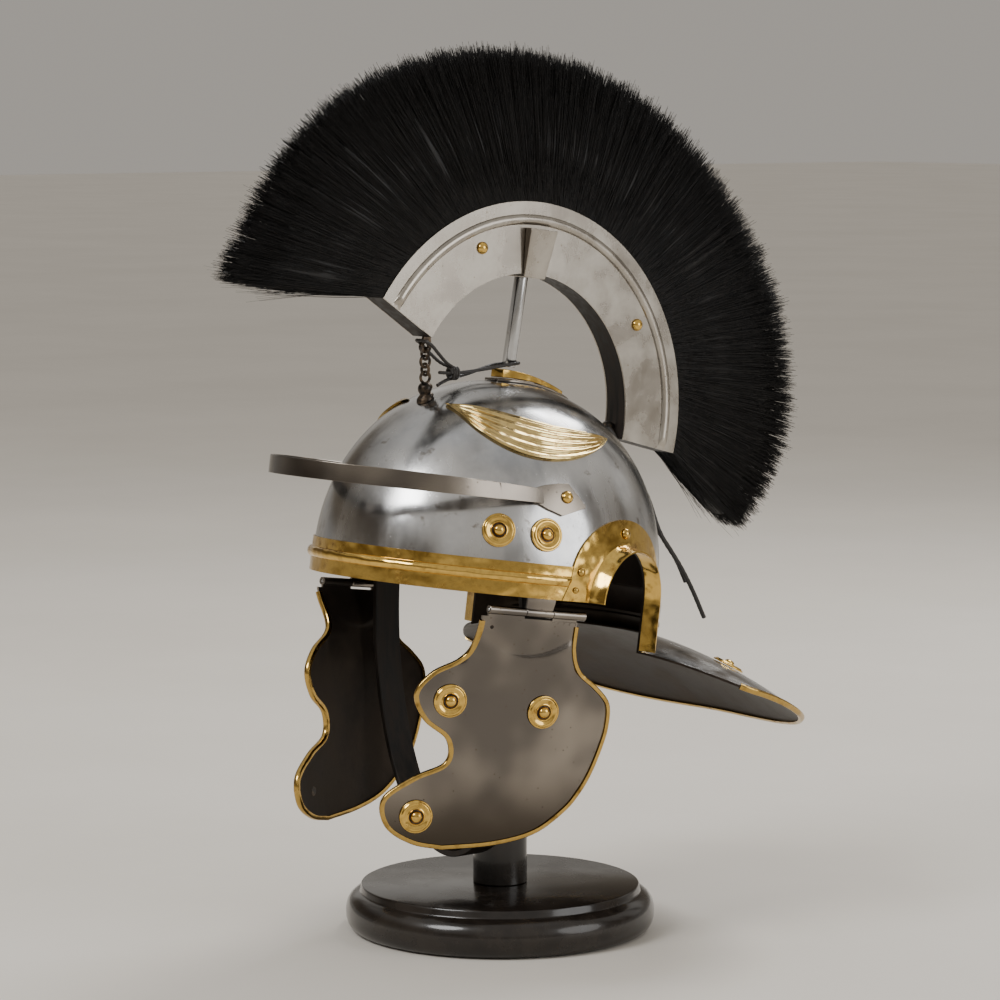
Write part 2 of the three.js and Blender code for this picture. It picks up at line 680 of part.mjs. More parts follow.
function makeLeaves() {
  // Shares of the leaf's length back from its tip, and of its depth up from its lowest edge.
  const outline = [
    { lowBack: 0, low: 0.96, highBack: 0, high: 0.97 },
    { lowBack: 0.02, low: 0.56, highBack: 0.1, high: 0.99 },
    { lowBack: 0.1, low: 0.26, highBack: 0.2, high: 0.94 },
    { lowBack: 0.24, low: 0.06, highBack: 0.36, high: 0.83 },
    { lowBack: 0.41, low: 0.01, highBack: 0.52, high: 0.745 },
    { lowBack: 0.59, low: 0.08, highBack: 0.68, high: 0.7 },
    { lowBack: 0.75, low: 0.22, highBack: 0.81, high: 0.67 },
    { lowBack: 0.89, low: 0.39, highBack: 0.91, high: 0.645 },
    { lowBack: 1, low: 0.57, highBack: 1, high: 0.58 },
  ];
  const relief = [0.4, 0.1, 0.8, 0.1, 0.4];
  const rows = outline.length - 1;
  const leaf = slab(2 * rows, relief.length - 1, (u, v, layer) => {
    const [here, next] = [outline[Math.floor(u * rows)], outline[Math.ceil(u * rows)]];
    const row = (key) => (here[key] + next[key]) / 2;
    const back = LEAF_START + LEAF_LENGTH * lerp(row("lowBack"), row("highBack"), v);
    const height = LEAF_LOW + LEAF_DEPTH * lerp(row("low"), row("high"), v);
    const raised = BRASS + LEAF_RELIEF * relief[Math.round(v * (relief.length - 1))];
    return seat(back, height, layer ? GAP : GAP + raised);
  });
  addPair(helmet, "leaf", leaf, "brass");

  const places = [
    { name: "bowl_boss_front", back: -61.1 },
    { name: "bowl_boss_rear", back: -32 },
  ];
  for (const { name, back } of places) {
    const at = seat(back, BOWL_BOSS_UP);
    const normal = bowlNormal(at);
    addPair(helmet, name, stoodOn(boss(), at.clone().addScaledVector(normal, GAP), normal), "brass");
  }
}

// Crest

const crestPoint = (turn, radius, side) =>
  point(side, CREST_BACK + radius * cos(turn), CREST_UP + radius * sin(turn));

function makeCrest() {
  const middle = (CREST_FOOT_FROM + CREST_FOOT_TO) / 2;
  const foot = slab(8, 2, (u, v, layer) => {
    const back = lerp(CREST_FOOT_FROM, CREST_FOOT_TO, u);
    const round = sqrt(max(1 - ((back - middle) / (CREST_FOOT_TO - middle + 1)) ** 6, 0.05));
    return crown((v - 0.5) * CREST_FOOT_WIDTH * round, back, layer ? GAP : GAP + STEEL);
  });
  add(helmet, "crest_foot", foot, "steel");

  const seatOut = 2 * GAP + STEEL;
  const holder = slab(5, 1, (u, v, layer) => {
    const back = lerp(HOLDER_FROM, HOLDER_TO, u);
    const at = crown(0, back, seatOut);
    at.x = (v - 0.5) * HOLDER_WIDTH;
    if (!layer) at.z += lerp(HOLDER_FRONT, HOLDER_REAR, u);
    return at;
  });
  add(helmet, "crest_holder", holder, "brass");

  const under = crestPoint(Math.PI / 2, CREST_INNER, 0).z;
  const yoke = under - 4 * GAP - STEEL; // underside of the bracket's cross plate
  const start = point(0, 0, crown(0, 0, seatOut).z + HOLDER_FRONT + 2 * GAP);
  const end = point(0, ROD_LEAN, yoke + STEEL / 2);
  const rod = turned([[0, 0], [ROD_RADIUS, 0], [ROD_RADIUS, end.z - start.z], [0, end.z - start.z]], 14);
  const lean = rod.attributes.position;
  for (let i = 0; i < lean.count; i++) {
    lean.setY(i, lean.getY(i) + (lean.getZ(i) / (end.z - start.z)) * ROD_LEAN);
  }
  const face = CREST_WIDTH / 2 + GAP;
  const cheek = slab(1, 1, (u, v, layer) => {
    const spread = v ? 1 : 0.78;
    const back = ROD_LEAN + (u ? BRACKET_REAR : -BRACKET_FRONT) * spread;
    const out = layer ? 0 : v ? BRACKET_OUT : STEEL;
    return point(face + out, back, v ? BRACKET_TOP : yoke);
  });
  const cross = new THREE.BoxGeometry(2 * (face + STEEL / 2), (BRACKET_REAR + BRACKET_FRONT) * 0.76, STEEL);
  cross.translate(0, ROD_LEAN + (BRACKET_REAR - BRACKET_FRONT) * 0.39, yoke + STEEL / 2);
  rod.translate(0, 0, start.z);
  add(helmet, "crest_stay", joined(cheek, mirrored(cheek), cross, rod), "satin");

  const plateIn = CREST_WIDTH / 2 - CREST_PLATE;
  const arcs = 20;
  const block = [];
  const bare = [[CREST_INNER, -1], [CREST_OUTER, -1], [CREST_OUTER, 1], [CREST_INNER, 1]];
  for (let i = 0; i <= arcs; i++) {
    const turn = lerp(CREST_FROM, CREST_TO, i / arcs);
    block.push(bare.map(([radius, side]) => crestPoint(turn, radius, side * (plateIn - GAP))));
  }
  add(helmet, "crest_block", bar(block, bare), "wood");

  const [low, high] = [CREST_BEAD_RADIUS - CREST_BEAD_HALF, CREST_BEAD_RADIUS + CREST_BEAD_HALF];
  const section = [
    [CREST_INNER, 0],
    [CREST_INNER, 1],
    [low, 1],
    [lerp(low, high, 0.2), 1.7],
    [CREST_BEAD_RADIUS, 2],
    [lerp(low, high, 0.8), 1.7],
    [high, 1],
    [CREST_OUTER, 1],
    [CREST_OUTER, 0],
  ];
  const setIn = 0.022; // the bead stops just short of the plate's ends
  const turns = [CREST_FROM, CREST_FROM + setIn, CREST_FROM + 2 * setIn];
  for (let i = 1; i < arcs; i++) turns.push(lerp(CREST_FROM, CREST_TO, i / arcs));
  turns.push(CREST_TO - 2 * setIn, CREST_TO - setIn, CREST_TO);
  const rings = turns.map((turn, i) => {
    const full = min(i, turns.length - 1 - i) >= 2;
    return section.map(([radius, layer]) => {
      const out = layer <= 1 ? layer * CREST_PLATE : CREST_PLATE + (full ? (layer - 1) * CREST_BEAD_OUT : 0);
      return crestPoint(turn, radius, plateIn + out);
    });
  });
  addPair(helmet, "crest_plate", bar(rings, section), "satin");

  for (const { name, turn } of [{ name: "front", turn: 115 }, { name: "rear", turn: 36 }]) {
    const at = crestPoint(THREE.MathUtils.degToRad(turn), CREST_RIVET_RADIUS, CREST_WIDTH / 2 + GAP);
    addPair(helmet, "crest_rivet_" + name, stoodOn(rivet(RIVET_RADIUS), at, point(1, 0, 0)), "brass");
  }
}

function makePlume() {
  // How far the hair's tips reach from the arc's centre, from its rear end to its front end.
  const reach = [1, 1.1, 1.105, 1.075, 1.05, 1.045, 1.05, 1.064, 1.09, 1.125, 1.128, 1.124];
  const tips = new THREE.CatmullRomCurve3(reach.map((r, i) => point(i, r, 0)));
  const [rearFlare, frontFlare] = [0.17, 0.22]; // the fan opens past both ends of its arc, in radians
  const base = CREST_OUTER + GAP;
  const half = PLUME_WIDTH / 2;
  const section = [[0, -1], [0.5, -1.1], [1, -0.6], [1, 0.6], [0.5, 1.1], [0, 1]];
  const steps = 2 * PLUME_LOCKS;
  const rings = [];
  for (let i = 0; i <= steps; i++) {
    const share = i / steps;
    const notch = i % 2 === 0;
    const root = lerp(CREST_FROM, CREST_TO, share);
    const tip = lerp(CREST_FROM - rearFlare, CREST_TO + frontFlare, share);
    const far = PLUME_REACH * tips.getPoint(share).y - (notch ? LOCK_NOTCH : 0);
    rings.push(
      section.map(([along, side]) => {
        const inner = crestPoint(root, base, 0);
        const outer = crestPoint(tip, far, 0);
        const at = inner.lerp(outer, along);
        at.x = side * half * (notch && along > 0 ? 0.86 : 1) * (along ? 1 : CREST_WIDTH / PLUME_WIDTH);
        return at;
      }),
    );
  }
  add(helmet, "plume", bar(rings, section), "hair");
}

// Ties

// A flat eye at a place in the middle plane, with a web to the crest's inner arc between two turns.
function eyeLug(back, height, from, to) {
  const [low, high] = [from, to].map((turn) => crestPoint(turn, CREST_INNER - 2 * GAP, 0));
  const web = Math.atan2((low.z + high.z) / 2 - height, (low.y + high.y) / 2 - back);
  const shape = new THREE.Shape();
  shape.moveTo(high.y, high.z);
  shape.lineTo(low.y, low.z);
  shape.absarc(back, height, EYE_RADIUS, web - Math.PI / 2, web - Math.PI * 1.5, true);
  const hole = new THREE.Path();
  hole.absarc(back, height, EYE_HOLE, 0, Math.PI * 2);
  shape.holes.push(hole);
  return upright(shape, EYE_WIDTH, 6);
}

function makeFrontTie() {
  const { back, height: up } = FRONT_EYE;
  add(helmet, "crest_front_eye", eyeLug(back, up, CREST_TO - 0.09, CREST_TO - 0.007), "iron");

  helmet.updateMatrixWorld(true);
  const eye = point(0, back, up).applyMatrix4(helmet.matrixWorld);
  const ring = (index, height) => {
    const upright = new THREE.TorusGeometry(LINK_RADIUS, LINK_WIRE, 6, 10).rotateX(Math.PI / 2);
    return upright.rotateZ(index % 2 ? Math.PI / 2 : 0).translate(0, eye.y, height);
  };
  const pitch = 2 * (LINK_RADIUS - LINK_WIRE) - GAP;
  const first = eye.z - (EYE_HOLE - LINK_WIRE - GAP) - LINK_RADIUS;
  for (let i = 0; i < LINK_COUNT; i++) {
    add(part, "chain_link_" + (i + 1), ring(i, first - i * pitch), "iron");
  }
  const height = first - LINK_COUNT * pitch;
  const top = height - LINK_RADIUS + LINK_WIRE / 2;
  const foot = [[0, 0], [1, 0], [1, 0.2], [0.6, 0.35]];
  const knob = [[0.83, 0.55], [0.83, 0.8], [0.43, 1], [0, 1]];
  const stud = turned([...foot, ...knob].map(([r, h]) => [r * STUD_RADIUS, h]), 12);
  const at = stud.attributes.position;
  for (let i = 0; i < at.count; i++) {
    const y = eye.y + at.getY(i);
    at.setXYZ(i, at.getX(i), y, lerp(crownOver(at.getX(i), y, GAP), top, at.getZ(i)));
  }
  add(part, "bowl_hook", joined(ring(LINK_COUNT, height), stud), "iron");
}

// The laces' routes in the stand's frame, chosen by hand.
const FRONT_LACE_ROUTE = [
  [5.5, -53.5, 363.5],
  [4.2, -46, 362.8],
  [3.2, -39.5, 362.4],
  [4.4, -28, 363],
  [6.2, -12, 364.6],
  [7, 0, 366],
  [5.6, 10, 366.4],
  [0, 14.2, 366.2],
  [-5.4, 10.4, 366],
  [-7, 1, 365.4],
  [-5.6, -10, 363.6],
  [-3, -22, 361.4],
  [-0.6, -33, 359.8],
  [0.4, -40, 359],
  [1.4, -47, 357.2],
  [2.8, -53, 355.2],
];
const FRONT_LOOP_ROUTE = [
  [2.2, -38.5, 365.2],
  [3.4, -46, 369.2],
  [4.6, -54, 376],
  [5, -60, 381.5],
  [3.2, -64.6, 383.8],
  [0, -65.8, 384],
  [-3.2, -64.6, 383.8],
  [-5, -60, 381.5],
  [-4.6, -54, 376],
  [-3.4, -46, 369.2],
  [-1.6, -38.5, 365.6],
];
const REAR_LACE_ROUTE = [
  [28, 151.2, 192.4],
  [28, 140.6, 211.9],
  [28, 129.3, 229.3],
  [27.4, 112.6, 252],
  [22, 106.5, 275],
  [14.5, 100, 295],
  [10, 94, 306],
  [6.5, 91.4, 314],
  [3, 90.2, 319.4],
  [0, 90.1, 320.4],
  [-3, 90.2, 319.4],
  [-6.5, 91.4, 314],
  [-7, 96, 304],
  [-2, 103, 290],
  [8, 109, 272],
  [21.4, 116.2, 252],
  [23.4, 129.8, 233],
  [23.6, 138.6, 217],
];

function makeLaces() {
  add(part, "front_lace", cord(FRONT_LACE_ROUTE, FRONT_LACE, 34), "leather");
  add(part, "front_loop", cord(FRONT_LOOP_ROUTE, FRONT_LACE, 22), "leather");
  const { back, height } = REAR_EYE;
  add(helmet, "crest_rear_eye", eyeLug(back, height, CREST_FROM + 0.035, CREST_FROM + 0.105), "iron");
  add(part, "rear_lace", cord(REAR_LACE_ROUTE, REAR_LACE, 52), "leather");
}

// Cheek guards: x points out of the cheek, y back along the hinge pin, z up from it

// Shares of the width behind the hinge's middle and of the drop below the pin, from the top down.
const CHEEK_ROWS = [
  { front: -0.28, frontDown: 0.026, rear: 0.217, rearDown: 0.026 },
  { front: -0.268, frontDown: 0.159, rear: 0.226, rearDown: 0.145 },
  { front: -0.308, frontDown: 0.221, rear: 0.272, rearDown: 0.228 },
  { front: -0.413, frontDown: 0.284, rear: 0.37, rearDown: 0.287 },
  { front: -0.471, frontDown: 0.376, rear: 0.449, rearDown: 0.353 },
  { front: -0.413, frontDown: 0.476, rear: 0.464, rearDown: 0.449 },
  { front: -0.301, frontDown: 0.548, rear: 0.449, rearDown: 0.542 },
  { front: -0.29, frontDown: 0.647, rear: 0.417, rearDown: 0.647 },
  { front: -0.42, frontDown: 0.72, rear: 0.373, rearDown: 0.733 },
  { front: -0.536, frontDown: 0.819, rear: 0.308, rearDown: 0.812 },
  { front: -0.504, frontDown: 0.928, rear: 0.174, rearDown: 0.908 },
  { front: -0.384, frontDown: 0.987, rear: -0.014, rearDown: 0.966 },
  { front: -0.248, frontDown: 1, rear: -0.248, rearDown: 1 },
];
const CHEEK_STEPS = 2 * (CHEEK_ROWS.length - 1);
const curveOf = (key, down) =>
  new THREE.CatmullRomCurve3(
    CHEEK_ROWS.map((row) => point(0, row[key] * CHEEK_WIDTH, -row[down] * CHEEK_DROP)),
  );
const cheekFront = curveOf("front", "frontDown");
const cheekRear = curveOf("rear", "rearDown");

// The middle of the cheek's sheet at a place along the hinge and a height below it.
function cheekSheet(along, height, out = 0) {
  const rear = 0.217 * CHEEK_WIDTH;
  const foremost = rear + 0.536 * CHEEK_WIDTH;
  const start = THREE.MathUtils.smoothstep(-height, 4, 34);
  const curl = CHEEK_CURL * (max(rear - along, 0) / foremost) ** 1.6 * start;
  return point(out - curl - CHEEK_LEAN * -height, along, height);
}

function cheekNormal(at) {
  const slope = (dy, dz) => (cheekSheet(at.y + dy, at.z + dz).x - cheekSheet(at.y - dy, at.z - dz).x) / 2;
  return point(1, -slope(1, 0), -slope(0, 1)).normalize();
}

const knuckleAt = (share) => (share - 0.5) * HINGE_LENGTH;

function knuckle(from, to) {
  const [low, high] = [knuckleAt(from) + GAP / 2, knuckleAt(to) - GAP / 2];
  const bore = PIN_RADIUS + GAP;
  const ring = [[bore, low], [KNUCKLE_RADIUS, low], [KNUCKLE_RADIUS, high], [bore, high], [bore, low]];
  return tidy(new THREE.LatheGeometry(ring.map(([r, h]) => new THREE.Vector2(r, h)), 10));
}

function cheekPlate() {
  const sheet = slab(CHEEK_STEPS, 4, (u, v, layer) => {
    const at = cheekFront.getPoint(u).lerp(cheekRear.getPoint(u), v);
    return cheekSheet(at.y, at.z, layer ? -STEEL / 2 : STEEL / 2);
  });
  const ends = [[KNUCKLE_ENDS[0], KNUCKLE_ENDS[1]], [KNUCKLE_ENDS[2], KNUCKLE_ENDS[3]]];
  const pieces = ends.flatMap(([from, to]) => {
    const [low, high] = [knuckleAt(from) + GAP, knuckleAt(to) - GAP];
    const inside = [max(low, -0.275 * CHEEK_WIDTH), min(high, 0.21 * CHEEK_WIDTH)];
    const tab = slab(1, 1, (u, v, layer) => {
      const height = lerp(-6, -(PIN_RADIUS + KNUCKLE_RADIUS) / 2 - GAP, v);
      return cheekSheet(inside[u], height, layer ? -STEEL / 2 : STEEL / 2);
    });
    return [knuckle(from, to), tab];
  });
  return joined(sheet, ...pieces);
}

function cheekEdging() {
  const points = [];
  for (let i = 2; i < CHEEK_STEPS; i++) points.push(cheekFront.getPoint(i / CHEEK_STEPS));
  for (let i = CHEEK_STEPS; i > 1; i--) points.push(cheekRear.getPoint(i / CHEEK_STEPS));
  const onSheet = points.map((at) => cheekSheet(at.y, at.z));
  return edging(rimOf(onSheet, onSheet.map(cheekNormal)), STEEL);
}

// The upper leaf stands on the middle knuckle and passes up inside the bowl's wall.
function hingeLeaf(frame) {
  const [low, high] = [knuckleAt(KNUCKLE_ENDS[1]) + GAP / 2, knuckleAt(KNUCKLE_ENDS[2]) - GAP / 2];
  const rows = [0.07, 0.26, 0.5, 1];
  const inverse = frame.matrix.clone().invert();
  const leaf = slab(3, rows.length - 1, (u, v, layer) => {
    const share = rows[Math.round(v * (rows.length - 1))];
    const along = lerp(low, high, u);
    const height = share * HINGE_LEAF_HEIGHT;
    const back = point(0, along, 0).applyMatrix4(frame.matrix).y;
    const wall = seat(back, height - HINGE_DROP, -STEEL - 3 * GAP).applyMatrix4(inverse).x;
    const shift = share > 0.1 ? wall - STEEL / 2 : 0;
    return point(shift + (layer ? -STEEL / 2 : STEEL / 2), along, height);
  });
  return joined(knuckle(KNUCKLE_ENDS[1], KNUCKLE_ENDS[2]), leaf);
}

function makeCheeks() {
  const frame = new THREE.Group();
  frame.position.set(HINGE_SIDE, -HINGE_FRONT, -HINGE_DROP);
  frame.rotation.z = -HINGE_TOE;
  frame.updateMatrix();
  const opposite = new THREE.Group();
  opposite.position.set(-HINGE_SIDE, -HINGE_FRONT, -HINGE_DROP);
  opposite.rotation.z = HINGE_TOE;
  helmet.add(frame, opposite);

  const place = (name, geometry, finish) => {
    add(frame, name + "_left", geometry, finish);
    add(opposite, name + "_right", mirrored(geometry), finish);
  };
  place("cheek_plate", cheekPlate(), "satin");
  place("cheek_edging", cheekEdging(), "brass");
  place("hinge_leaf", hingeLeaf(frame), "satin");
  const half = HINGE_LENGTH / 2;
  const pin = new THREE.LatheGeometry(
    [[0, -half], [PIN_RADIUS, -half], [PIN_RADIUS, half], [0, half]].map(([r, h]) => new THREE.Vector2(r, h)),
    10,
  );
  place("hinge_pin", tidy(pin), "steel");

  const bosses = [
    { name: "cheek_boss_front", along: -0.318, down: 0.39 },
    { name: "cheek_boss_rear", along: 0.118, down: 0.405 },
    { name: "cheek_boss_low", along: -0.385, down: 0.877 },
  ];
  for (const { name, along, down } of bosses) {
    const at = cheekSheet(along * CHEEK_WIDTH, -down * CHEEK_DROP);
    const normal = cheekNormal(at);
    const foot = at.clone().addScaledVector(normal, STEEL / 2 + GAP);
    place(name, stoodOn(boss(), foot, normal), "brass");
  }
}

makeStand();
makeBowl();
makeNeckGuard();
makeBrowBand();
makePeak();
makeEarGuards();
makeLeaves();
makeCrest();
makePlume();
makeFrontTie();
makeLaces();
makeCheeks();

export default part;
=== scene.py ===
# %% [markdown]
# # A roman legionary helmet on its display stand
# The solids that were packed are loaded first and never moved. Each visible piece is then made again
# with finer meshes from the same sizes, so that polished sheet steel and brass reflect smoothly.

import math

import bmesh
import bpy
import numpy as np
from mathutils import Matrix, Vector


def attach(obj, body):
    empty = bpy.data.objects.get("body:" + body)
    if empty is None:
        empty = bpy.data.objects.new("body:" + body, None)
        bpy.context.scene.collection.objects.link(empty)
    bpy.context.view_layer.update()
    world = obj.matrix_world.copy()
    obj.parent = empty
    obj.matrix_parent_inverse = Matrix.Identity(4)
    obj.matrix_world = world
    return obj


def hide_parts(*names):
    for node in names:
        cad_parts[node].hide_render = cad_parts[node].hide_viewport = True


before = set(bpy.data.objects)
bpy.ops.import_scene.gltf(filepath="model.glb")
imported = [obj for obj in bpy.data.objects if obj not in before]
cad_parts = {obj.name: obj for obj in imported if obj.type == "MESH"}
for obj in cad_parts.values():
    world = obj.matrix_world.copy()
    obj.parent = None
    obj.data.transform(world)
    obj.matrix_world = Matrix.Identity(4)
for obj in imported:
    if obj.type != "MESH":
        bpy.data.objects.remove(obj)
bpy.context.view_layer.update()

# %% [markdown]
# ## The camera
# A long lens stands 2.4 m away, before the wearer's left side and about as high as the plume's top.
# Its place was worked out from the bowl's rim and the round base, so the framing needs no shift.

# %% Camera
MM = 0.001
LOOK_AT = Vector((0, 0, 0.2787))
DISTANCE = 2.4
VIEW_BACK = Vector((0.7748, -0.6230, 0.1077)).normalized()
VIEW_RIGHT = Vector((0.6266, 0.7793, 0)).normalized()


def linked(name, data):
    """A new object in the scene."""
    obj = bpy.data.objects.new(name, data)
    bpy.context.collection.objects.link(obj)
    return obj


camera = linked("camera", bpy.data.cameras.new("camera"))
axes = Matrix((VIEW_RIGHT, VIEW_BACK.cross(VIEW_RIGHT), VIEW_BACK)).transposed()
camera.matrix_world = Matrix.Translation(LOOK_AT + VIEW_BACK * DISTANCE) @ axes.to_4x4()
camera.data.lens = 134.6
camera.data.sensor_width = 36
bpy.context.scene.camera = camera
print("camera at", tuple(round(v, 3) for v in camera.location))

# %% [markdown]
# ## Making meshes
# Sheet metal is a grid of points with an outer and an inner layer. A bead, a strip or a folded edge is
# one flat section repeated along a path. A boss is a profile turned about an axis. Three short functions
# make all of these, in millimetres, and one more turns points and faces into a named piece.


# %% Grids, bars and turned forms
def lerp(a, b, t):
    return a + (b - a) * t


def smooth(t):
    t = np.clip(t, 0, 1)
    return t * t * (3 - 2 * t)


def table(columns, *rows):
    """Rows of numbers or names under the columns' names."""
    return [dict(zip(columns.split(), row)) for row in rows]


def slab(across, up, place, closes=False):
    """A closed sheet: place(u, v, layer) gives its outer grid at layer 0 and its inner one at 1."""
    columns = across if closes else across + 1
    u, v = np.meshgrid(np.arange(columns) / across, np.arange(up + 1) / up, indexing="ij")
    points = np.concatenate([place(u, v, layer).reshape(-1, 3) for layer in (0, 1)])

    def at(layer, i, j):
        return (layer * columns + i % columns) * (up + 1) + j

    faces = []
    for i in range(across):
        for j in range(up):
            faces.append([at(0, i, j), at(0, i + 1, j), at(0, i + 1, j + 1), at(0, i, j + 1)])
            faces.append([at(1, i, j), at(1, i, j + 1), at(1, i + 1, j + 1), at(1, i + 1, j)])
        faces.append([at(0, i, 0), at(1, i, 0), at(1, i + 1, 0), at(0, i + 1, 0)])
        faces.append([at(0, i, up), at(0, i + 1, up), at(1, i + 1, up), at(1, i, up)])
    for j in range(0 if closes else up):
        faces.append([at(0, 0, j), at(0, 0, j + 1), at(1, 0, j + 1), at(1, 0, j)])
        faces.append([at(0, across, j), at(1, across, j), at(1, across, j + 1), at(0, across, j + 1)])
    return points, faces


def bar(rings, closes=False):
    """A closed bar through rings of points; a bar that closes on itself has no ends."""
    rings = np.asarray(rings, float)
    count, size = rings.shape[:2]
    faces = []
    for i in range(count if closes else count - 1):
        here, there = i * size, (i + 1) % count * size
        for j in range(size):
            k = (j + 1) % size
            faces.append([here + j, here + k, there + k, there + j])
    if not closes:
        faces.append(list(range(size - 1, -1, -1)))
        faces.append([(count - 1) * size + j for j in range(size)])
    return rings.reshape(-1, 3), faces


def turned(profile, sides, closes=False):
    """A profile of (radius, height) turned about Z; one that closes makes a ring."""
    turn = np.arange(sides) / sides * 2 * math.pi
    rings = [[(r * math.cos(a), r * math.sin(a), h) for r, h in profile] for a in turn]
    count = len(profile)
    faces = []
    for i in range(sides):
        here, there = i * count, (i + 1) % sides * count
        for j in range(count if closes else count - 1):
            k = (j + 1) % count
            faces.append([here + j, there + j, there + k, here + k])
    return np.array(rings).reshape(-1, 3), faces


def stood_on(form, at, direction):
    """A turned form moved to a point, with its axis along a direction."""
    points, faces = form
    turn = Vector((0, 0, 1)).rotation_difference(Vector(direction)).to_matrix()
    return points @ np.array(turn).T + np.asarray(at), faces


def mirrored(form):
    points, faces = form
    return points * [-1, 1, 1], [face[::-1] for face in faces]


def together(*forms):
    """Several forms in one mesh."""
    points, faces, start = [], [], 0
    for some, more in forms:
        points.append(some)
        faces += [[start + k for k in face] for face in more]
        start += len(some)
    return np.concatenate(points), faces


# %% From points to a named piece
def mesh_of(name, form):
    """A clean mesh in metres from points in millimetres and faces, all turned out."""
    points, faces = form
    mesh = bpy.data.meshes.new(name)
    mesh.from_pydata((points * MM).tolist(), [], faces)
    work = bmesh.new()
    work.from_mesh(mesh)
    bmesh.ops.remove_doubles(work, verts=work.verts, dist=2e-6)
    bmesh.ops.dissolve_degenerate(work, edges=work.edges, dist=1e-7)
    bmesh.ops.recalc_face_normals(work, faces=work.faces)
    work.to_mesh(mesh)
    work.free()
    return mesh


def piece(name, form, finish, nodes, body="helmet", sharp=38, bevel=0.0):
    """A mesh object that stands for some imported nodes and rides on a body."""
    mesh = mesh_of(name, form)
    mesh.shade_smooth()
    mesh.set_sharp_from_angle(angle=math.radians(sharp))
    mesh.materials.append(finish)
    obj = linked(name, mesh)
    if bevel:
        soften = obj.modifiers.new("soft_edges", "BEVEL")
        soften.width = bevel * MM
        soften.segments = 2
        soften.limit_method = "ANGLE"
        soften.angle_limit = math.radians(45)
    if nodes:
        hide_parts(*nodes)
    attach(obj, body)
    return obj


def paint_shade_inside(obj, finish, is_inside):
    """A second finish, a painted shade, on the faces for which is_inside(centre, normal) holds, in
    millimetres.
    """
    obj.data.materials.append(finish)
    for face in obj.data.polygons:
        if is_inside(face.center / MM, face.normal):
            face.material_index = 1


# %% [markdown]
# ## Shared surface effects
# Old metal is never one flat colour. Three small node groups give masks: soft patches for tarnish,
# streaks for polishing marks and pits for corrosion. Each material places the groups it needs with its
# own scales, and keeps its own shader.


# %% Node groups
def add_node(tree, kind, inputs, **settings):
    """A new shader node. Each input is a number, a colour or another node's output."""
    node = tree.nodes.new("ShaderNode" + kind)
    for name, value in settings.items():
        setattr(node, name, value)
    for label, value in inputs.items():
        if isinstance(value, bpy.types.NodeSocket):
            tree.links.new(value, node.inputs[label])
        else:
            node.inputs[label].default_value = value
    return node


def effect(name, inputs, build):
    """A node group with float inputs, a Vector input and one float output called Mask."""
    tree = bpy.data.node_groups.new(name, "ShaderNodeTree")
    tree.interface.new_socket(name="Vector", in_out="INPUT", socket_type="NodeSocketVector")
    for label, value in inputs.items():
        socket = tree.interface.new_socket(name=label, in_out="INPUT", socket_type="NodeSocketFloat")
        socket.default_value = value
    tree.interface.new_socket(name="Mask", in_out="OUTPUT", socket_type="NodeSocketFloat")
    start, end = tree.nodes.new("NodeGroupInput"), tree.nodes.new("NodeGroupOutput")
    tree.links.new(build(tree, start.outputs), end.inputs["Mask"])
    return tree


def ranged(tree, value, low, high):
    """value from low to high becomes 0 to 1, with soft ends."""
    inputs = {"Value": value, "From Min": low, "From Max": high}
    return add_node(tree, "MapRange", inputs, interpolation_type="SMOOTHSTEP").outputs["Result"]


def build_patches(tree, given):
    inputs = {"Roughness": 0.62, **{label: given[label] for label in ("Detail", "Vector", "Scale")}}
    noise = add_node(tree, "TexNoise", inputs)
    return ranged(tree, noise.outputs["Fac"], given["Low"], given["High"])


def build_streaks(tree, given):
    scales = {"X": given["Across"], "Y": given["Across"], "Z": given["Along"]}
    stretch = add_node(tree, "CombineXYZ", scales).outputs["Vector"]
    scaled = add_node(tree, "VectorMath", {0: given["Vector"], 1: stretch}, operation="MULTIPLY")
    noise = add_node(tree, "TexNoise", {"Scale": 1, "Detail": 5, "Vector": scaled.outputs["Vector"]})
    return ranged(tree, noise.outputs["Fac"], given["Low"], given["High"])


def build_pits(tree, given):
    cells = add_node(tree, "TexVoronoi", {"Vector": given["Vector"], "Scale": given["Scale"]})
    return ranged(tree, cells.outputs["Distance"], given["Rim"], given["Core"])


patches = effect("tarnish_patches", {"Scale": 40, "Low": 0.45, "High": 0.6, "Detail": 7}, build_patches)
streaks = effect("polish_streaks", {"Across": 60, "Along": 6, "Low": 0.3, "High": 0.7}, build_streaks)
pits = effect("fine_pits", {"Scale": 300, "Rim": 0.16, "Core": 0.05}, build_pits)
print("effects:", [g.name for g in (patches, streaks, pits)])

# %% [markdown]
# ## Finishes
# Each finish is one Principled shader. A ramp of two or three colours is driven by the masks, the
# roughness changes with them, and a weak bump breaks up the reflections.


